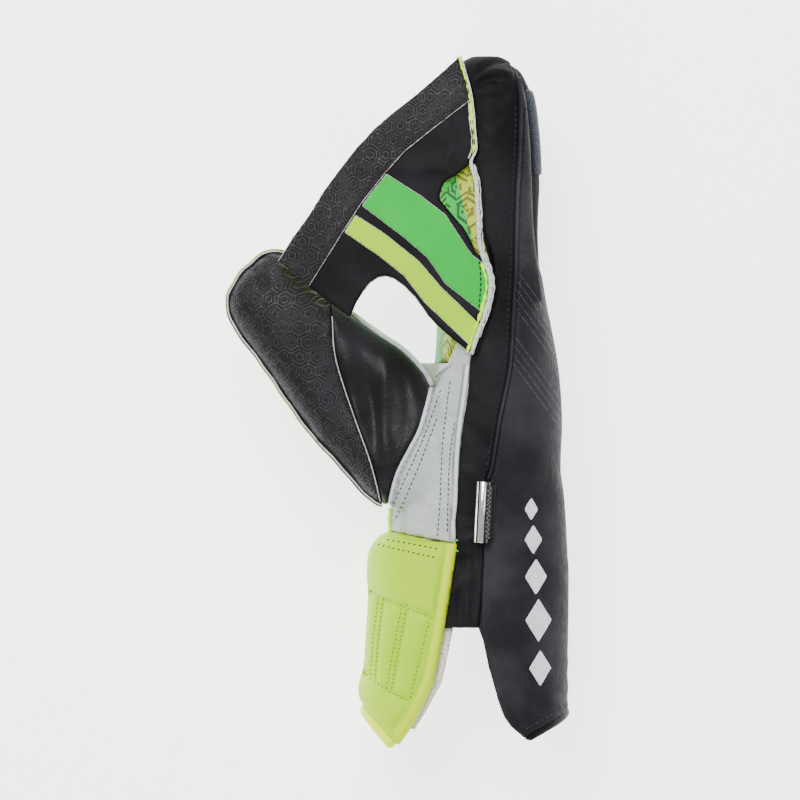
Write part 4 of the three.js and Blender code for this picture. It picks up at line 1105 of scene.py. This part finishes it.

# A raised seam joins the side strip and the back. Both leathers are turned up, pressed together and
# stitched through, with a row of thread along each side. Its black leather is painted a little lighter
# and bluer than the black round it: a painted highlight along the welt.
welt_rows = [(x, y) for y, x in back_seam if -37 < y < 150] + [(54, 148)]
welt_surface = BVHTree.FromPolygons(points.tolist(), np.vstack([strip_faces[0], back_faces]).tolist())
welt_path, welt_normals = lying(welt_surface, welt_rows, 1.1, 0.1)
welt = tube("back_seam_welt", welt_path, 0.75, 1.5, 10, welt_normals)
# painted highlight: the welt's black leather is coloured lighter and bluer
laid(welt, leather("welt_leather_painted_highlight", "212227", "32343b", 0.45, 0.8, 3.0, 0.3)[0], "black_leather", "back_welt")
welt_stitching = [
    # name, surface, how far from the seam, thread, its colour
    ("back_seam_stitching", strip_surfaces[0], -2.3, "dark_thread", "151416"),
    ("back_panel_stitching", back_surface, 2.4, "soft_black_thread", "1d1c1e"),
]
for name, surface, off, thread_name, code in welt_stitching:
    row = stitches(name, surface, [[(x + off, y) for x, y in welt_rows[:-1]]], 2.6, 1.9, 0.25, 0.1)
    laid(row, thread(thread_name, code), "black_leather")

# A strip of blue-grey leather is laid down the back of the middle finger. Small dots are embossed
# in it, and it follows the finger's curve.
strip_low, strip_high, strip_bottom, strip_top = 104.7, 143.7, 55.9, 76
strip_y, strip_z = np.meshgrid(np.linspace(strip_low, strip_high, 44),
                               np.linspace(strip_bottom, strip_top, 26))
strip_verts = []
for y, z in zip(strip_y.ravel(), strip_z.ravel()):
    hit, normal, _, _ = back_surface.ray_cast(Vector((200, y, z)), Vector((-1, 0, 0)))
    strip_verts.append(np.array(hit) + np.array(normal) * 1.2 if hit else np.array([58, y, z]))
finger_strip, _ = thick_sheet("finger_back_leather", np.array(strip_verts),
                              grid_faces(*strip_y.shape), 1.2, 0.8)
blue_grey, tree, shader, where = start_material("blue_grey_embossed_leather")
specks = put(tree, "TexVoronoi", {"Vector": where, "Scale": 900.0}, feature="F1")["Distance"]
dots = ramp(tree, specks, 0.15, 0.3, 1.0, 0.0)
tree.links.new(mix(tree, dots, paint("383b43"), paint("626773")), shader.inputs["Base Color"])
shader.inputs["Roughness"].default_value = 0.5
shader.inputs["IOR"].default_value = 1.13
bumped(tree, shader, dots, 0.6, 0.25)
laid(finger_strip, blue_grey, "blue_grey_leather", "finger_back_strip")
cut_sheet(finger_strip, "laid", "back_panel")

# The front cuff is half of one wide padded tube round the wrist. It is yellow coated leather over
# foam, quilted in columns with olive thread, with a flat side wall where it faces the back cuff, painted
# a brighter yellow as painted light.
cuff_sections = [
    # y, palm face, back face
    (-35.5, -5.1, 75.1), (-60.2, -6.8, 77.2), (-65.2, -9, 77.6), (-71.1, -13.1, 78.2), (-81, -14.4, 78.8),
    (-90, -13.9, 78.8), (-104.8, -14.7, 78.6), (-124.6, -16.1, 78.2), (-135.5, -18.6, 78.2),
    (-149.4, -18, 79.4), (-162, -17.8, 79.4), (-172, -17.8, 79.4),
]
front_outline = [
    (26.4, -65.8), (23.4, -85.6), (20.1, -104.9), (18.9, -111.3), (15, -129.5), (8.6, -143),
    (1.4, -153.4), (-3.2, -158.6), (-50, -107), (-50, -54), (-6, -60.7),
]
wall_line = [
    (21.7, -67), (18.7, -85.6), (15.3, -104.9), (14.1, -111.3), (10.4, -128), (4.4, -140.6), (-2.6, -150.6),
]
channels = [
    # the stitched lines of the quilting, seen from above
    px([(378, 600), (373, 640), (370, 680)]), px([(383, 600), (378, 640), (375, 680)]),
    px([(402, 604), (393, 650), (386, 691)]), px([(407, 605), (398, 650), (391, 691)]),
    px([(430, 617), (419, 660), (409, 700)]),
    px([(370, 594), (400, 605), (430, 616)]), px([(363, 676), (386, 689), (409, 701)]),
]


def cuff_surface(inset, sides, steps):
    """The wide tube that the cuffs follow, drawn in by inset all round."""
    rows = smooth_rows(cuff_sections, steps)
    across, up = superellipse(sides, 3)
    rings = []
    for y, palm, back in rows[::-1]:
        x = (palm + back) / 2 + ((back - palm) / 2 - inset) * across
        rings.append(np.column_stack([x, np.full(sides, y), cuff_middle + (cuff_half - inset) * up]))
    verts, quads = loft(rings, capped=False)
    quads = np.array(quads)
    faces = np.vstack([quads[:, [0, 1, 2]], quads[:, [0, 2, 3]]])
    if np.mean((normals_of(verts, faces) * (verts - [30, -100, cuff_middle]))[:, 2]) < 0:
        faces = faces[:, ::-1]
    verts[:, 2] = np.maximum(verts[:, 2], 0.05)
    return verts, faces


def quilting(verts, normals, edge):
    """Soft columns of foam between the stitched lines, and the full pad above them."""
    rise = np.clip(edge / 7, 0, 1) * 1.1
    lines = np.min([off_line(verts, line) for line in channels], axis=0)
    on_top = verts[:, 2] > 62
    ribs = np.min([abs(verts[:, 2] - z) for z in (14, 34, 54)], axis=0)
    ribs = np.where((verts[:, 1] > -142) & (verts[:, 1] < -88), ribs, 9)
    lines = np.where(on_top, lines, ribs)
    lines = np.minimum(lines, np.where(on_top, off_line(verts, wall_line) * 1.3, 9))
    rise -= 1.7 * np.exp(-(lines / 0.9) ** 2) + 0.9 * np.exp(-(lines / 2.6) ** 2)
    upper_pad = off_line(verts, px([(390, 548), (410, 575), (425, 590)]))
    rise += 1.3 * np.exp(-(upper_pad / 10) ** 2) * (verts[:, 2] > 60)
    return rise


cuff_verts, cuff_faces = cuff_surface(0, 320, 9)
front_verts, front_faces, _ = part(cuff_verts, cuff_faces, inside(front_outline, cuff_verts))
front, front_surface = thick_sheet("front_cuff_padding", front_verts, front_faces, 8, 4, quilting)
front_yellow, tree, shader = edged(
    "yellow_cuff_leather", ((0.42, 0.70, 0.0, 1), (0.39, 0.66, 0.0, 1)), "f2ff1e", 0.02)
places = read_mesh(front)[0]
mark(front, "wall", places[:, 0] - line_at([(y, x) for x, y in wall_line[::-1]], places[:, 1]))
face_colour = shader.inputs["Base Color"].links[0].from_socket
# painted light: the side wall is coloured a brighter yellow than the face
painted_wall_light = ramp(tree, put(tree, "Attribute", attribute_name="wall")["Fac"], -0.2, 0.3)
tree.links.new(mix(tree, painted_wall_light, face_colour, (0.58, 0.78, 0.0, 1)), shader.inputs["Base Color"])
laid(front, front_yellow, "bright_yellow", "front_cuff")
top_rows = [px([(388, 540), (415, 544), (441, 549)]), px([(379, 545), (408, 551), (438, 557)])]
cuff_thread = stitches("front_cuff_stitching", front_surface,
                       channels + [px([(361, 710), (374, 723), (384, 735)])], 2.0, 1.2, 0.2, 0.08)
laid(cuff_thread, thread("olive_thread", "5a6610"), "bright_yellow")
top_thread = stitches("front_cuff_top_stitching", front_surface, top_rows, 2.3, 1.1, 0.32, 0.1)
laid(top_thread, thread("black_cuff_thread", "1c1e12"), "bright_yellow")

# A plain column of five white lozenges, graded in size, is printed on the back cuff in a thin film.
# A short row of black thread closes the cuff's hem.
lozenges = [
    # x, y, half width, half height
    (60.0, -50, 3.2, 5.5), (61.0, -64, 4.2, 7.0), (62.2, -81, 5.2, 8.5), (63.4, -101, 6.2, 10.0),
    (64.2, -123, 5.2, 8.5),
]
white_print, tree, shader, where = start_material("white_printed_film")
wear = noise_at(tree, where, 2.5, 6)
tree.links.new(mix(tree, ramp(tree, wear, 0.3, 0.7), paint("c9cbd0"), paint("dcdde2")),
               shader.inputs["Base Color"])
tree.links.new(ramp(tree, wear, 0.3, 0.7, 0.5, 0.38), shader.inputs["Roughness"])
bumped(tree, shader, wear, 0.3, 0.1)
for number, (x, y, half, tall) in enumerate(lozenges, 1):
    field = 1 - abs(points[:, 0] - x) / half - abs(points[:, 1] - y) / tall
    verts, shape, _ = part(points, back_faces, field * half)
    shape = shape[normals_of(verts, shape)[shape[:, 0], 2] > 0.1]
    normals = normals_of(verts, shape)
    motif, _ = thick_sheet("white_lozenge_%d" % number, verts + normals * 0.35, shape, 0.3, 0.2)
    laid(motif, white_print, "black_leather")
hem_rows = [[(58.2, -150.2), (67, -145.9), (76, -141.4)]]
hem_stitch = stitches("back_hem_stitching", back_surface, hem_rows, 2.4, 1.7, 0.25, 0.1)
laid(hem_stitch, thread("hem_black_thread", "2c2b2e"), "black_leather")

# Rolled piping closes the hem of each cuff: a strip of the cuff's own leather round a cord, sewn on
# along the slanting edge.
hems = [
    # name, corner x, y, slope, side (-1 palm, 1 back), material, slot, node
    ("front_hem_roll", -3.2, -158.6, -1.1, -1, front_yellow, "bright_yellow", "front_cuff_piping"),
    ("back_hem_roll", 57.0, -154.9, 0.5, 1, matt_black, "matt_leather", "back_cuff_piping"),
]
hem_centre, hem_deep, hem_wide, hem_power = 30.2, 46.4, 51.8, 2 / 3
hem_radius, hem_inset = 2.4, 2.2
turn = np.linspace(0.5, -0.5, 120) * np.pi
out = hem_deep * abs(np.cos(turn)) ** hem_power
z = cuff_middle + hem_wide * np.sign(np.sin(turn)) * abs(np.sin(turn)) ** hem_power
for name, corner_x, corner_y, slope, side, finish, slot_name, node in hems:
    keep = out >= (corner_x - hem_centre) * side
    x = hem_centre + side * out[keep]
    y = corner_y + slope * (x - corner_x) - (hem_radius - hem_inset) * math.hypot(1, slope)
    path = np.column_stack([x, y, z[keep]])
    roll = tube(name, along(path, 1.5), hem_radius, None, 14, (0, 1, 0.01))
    laid(roll, finish, slot_name, node)

# Off-white ribbed towelling lines the front cuff and shows past its edge. It is thick looped cotton
# over a thin pad, sewn in at the hem.
lining_outline = [
    (29.2, -75), (24.3, -104.9), (23.1, -111.3), (19.2, -129.5), (11.8, -143), (6.4, -151.5),
    (-50, -151.5), (-50, -64), (24, -64), (22, -86), (19, -103), (23.6, -103.2),
]
lining_verts, lining_faces = cuff_surface(8.4, 260, 9)
lining_verts, lining_faces, _ = part(lining_verts, lining_faces, inside(lining_outline, lining_verts))
loops = np.random.default_rng(5)


def terry(verts, normals, edge):
    """Uneven loops of cotton in rows."""
    return 0.35 * loops.random(len(verts)) + 0.25 * np.sin(verts[:, 1] * 2.2)


lining, _ = thick_sheet("towelling_lining", lining_verts, lining_faces, 2.4, 1.2, terry)
towelling, tree, shader, where = start_material("off_white_towelling")
pile = put(tree, "TexVoronoi", {"Vector": where, "Scale": 1100.0}, feature="F1")["Distance"]
ribs = put(tree, "TexWave", {"Vector": where, "Scale": 190.0, "Distortion": 1.5}, bands_direction="Y")["Fac"]
tree.links.new(mix(tree, ramp(tree, pile, 0.2, 0.7), paint("fbf6f3"), paint("ddd5cf")),
               shader.inputs["Base Color"])
shader.inputs["Roughness"].default_value = 0.95
shader.inputs["Sheen Weight"].default_value = 0.3
bumped(tree, shader, sums(tree, "ADD", ribs, pile), 0.7, 0.5)
laid(lining, towelling, "towelling", "front_cuff_lining")
cut_sheet(lining, "stretched", "front_cuff")

# A bright metal bar lies on the edge of the back cuff. It is chrome-plated tube with one closed end,
# held in a loop of woven black elastic that is sewn down with a zigzag of pale thread.
bar_x, bar_y, bar_z, bar_tilt = 37.6, -51.2, 109.85, -0.05
bar_radius, bar_length, bar_wall, bar_bore = 3.45, 28.0, 0.7, 25.0
bpy.ops.object.select_all(action="DESELECT")
bpy.ops.mesh.primitive_cylinder_add(vertices=48, radius=bar_radius * mm, depth=bar_length * mm)
bar = bpy.context.object
bar.name = "chrome_bar"
bpy.ops.object.mode_set(mode="EDIT")
bpy.ops.mesh.select_all(action="DESELECT")
bpy.ops.mesh.select_mode(type="FACE")
mesh = bmesh.from_edit_mesh(bar.data)
for face in mesh.faces:
    face.select_set(face.normal.z < -0.9)
bmesh.update_edit_mesh(bar.data)
bpy.ops.mesh.inset(thickness=bar_wall * mm)
bpy.ops.mesh.extrude_region_move(TRANSFORM_OT_translate={"value": (0, 0, bar_bore * mm)})
bpy.ops.object.mode_set(mode="OBJECT")
apply_modifier(bar, "BEVEL", width=0.35 * mm, segments=3, limit_method="ANGLE")
bar.data.transform(Matrix.Rotation(-math.pi / 2, 4, "X"))
bar.data.transform(Matrix.Rotation(bar_tilt, 4, "Z"))
bar.data.transform(Matrix.Translation(Vector((bar_x, bar_y, bar_z)) * mm))
bpy.ops.object.select_all(action="DESELECT")
bpy.context.view_layer.objects.active = bar
bar.select_set(True)
bpy.ops.object.shade_smooth_by_angle(angle=math.radians(35))
chrome, tree, shader, where = start_material("polished_chrome")
marks = noise_at(tree, where, 3.0, 6, 1.0)
apart = put(tree, "SeparateXYZ", {0: where})
across = sums(tree, "MULTIPLY_ADD", apart[1], bar_tilt, apart[0])
across = sums(tree, "SUBTRACT", across, (bar_x + bar_tilt * bar_y) * mm)
# painted reflection: a dark streak along the bar and a dark band down its far side are painted into the
# chrome's colour
off_painted_streak = sums(tree, "ABSOLUTE", sums(tree, "ADD", across, 0.0021))
dark = sums(tree, "MAXIMUM", ramp(tree, off_painted_streak, 0.0002, 0.0005, 1.0, 0.0),
            ramp(tree, across, 0.0007, 0.0012))
clean = mix(tree, ramp(tree, marks, 0.35, 0.65), paint("f2f2f3"), paint("fafafa"))
tree.links.new(mix(tree, dark, clean, paint("4a4b4d")), shader.inputs["Base Color"])
shader.inputs["Metallic"].default_value = 1.0
tree.links.new(ramp(tree, marks, 0.3, 0.7, 0.08, 0.16), shader.inputs["Roughness"])
laid(bar, chrome, "bright_metal", "wrist_bar")
elastic, tree, shader, where = start_material("black_elastic")
weave = put(tree, "TexWave", {"Vector": where, "Scale": 330.0, "Distortion": 0.5}, bands_direction="Y")["Fac"]
tree.links.new(mix(tree, weave, paint("0d0c0e"), paint("232225")), shader.inputs["Base Color"])
shader.inputs["Roughness"].default_value = 0.85
bumped(tree, shader, weave, 0.8, 0.3)
round_steps, flat_steps, loop_rows = 26, 8, 60
loop_turn = np.radians(np.concatenate([np.linspace(66, -38, round_steps), [-38] * flat_steps]))
loop_out = bar_radius + 0.7
loop_x, loop_z = loop_out * np.cos(loop_turn), loop_out * np.sin(loop_turn)
loop_x[round_steps:] += np.linspace(0.3, 2.6, flat_steps)
loop_z[round_steps:] = -bar_radius + 0.45
loop_verts = np.array([(bar_x + x - y * bar_tilt, bar_y + y, bar_z + z)
                       for y in np.linspace(-12.3, 12.3, loop_rows) for x, z in zip(loop_x, loop_z)])
loop_grid = grid_faces(loop_rows, round_steps + flat_steps)[:, [0, 2, 1]]
if normals_of(loop_verts, loop_grid)[5, 2] < 0:
    loop_grid = loop_grid[:, ::-1]
elastic_loop, loop_surface = thick_sheet("elastic_bar_loop", loop_verts, loop_grid, 1.0, 0.5)
laid(elastic_loop, elastic, "elastic", "bar_loop")
cut_sheet(elastic_loop, "folded", "wrist_bar")
zigzag = [(bar_x + 2.6 + 0.7 * (-1) ** k - y * bar_tilt, bar_y + y)
          for k, y in enumerate(np.linspace(-11.8, 11.8, 24))]
loop_thread = stitches("bar_loop_stitching", loop_surface, [zigzag], 1.1, 1.2, 0.22, 0.05)
laid(loop_thread, thread("bar_pale_thread", "77777a"), "elastic")
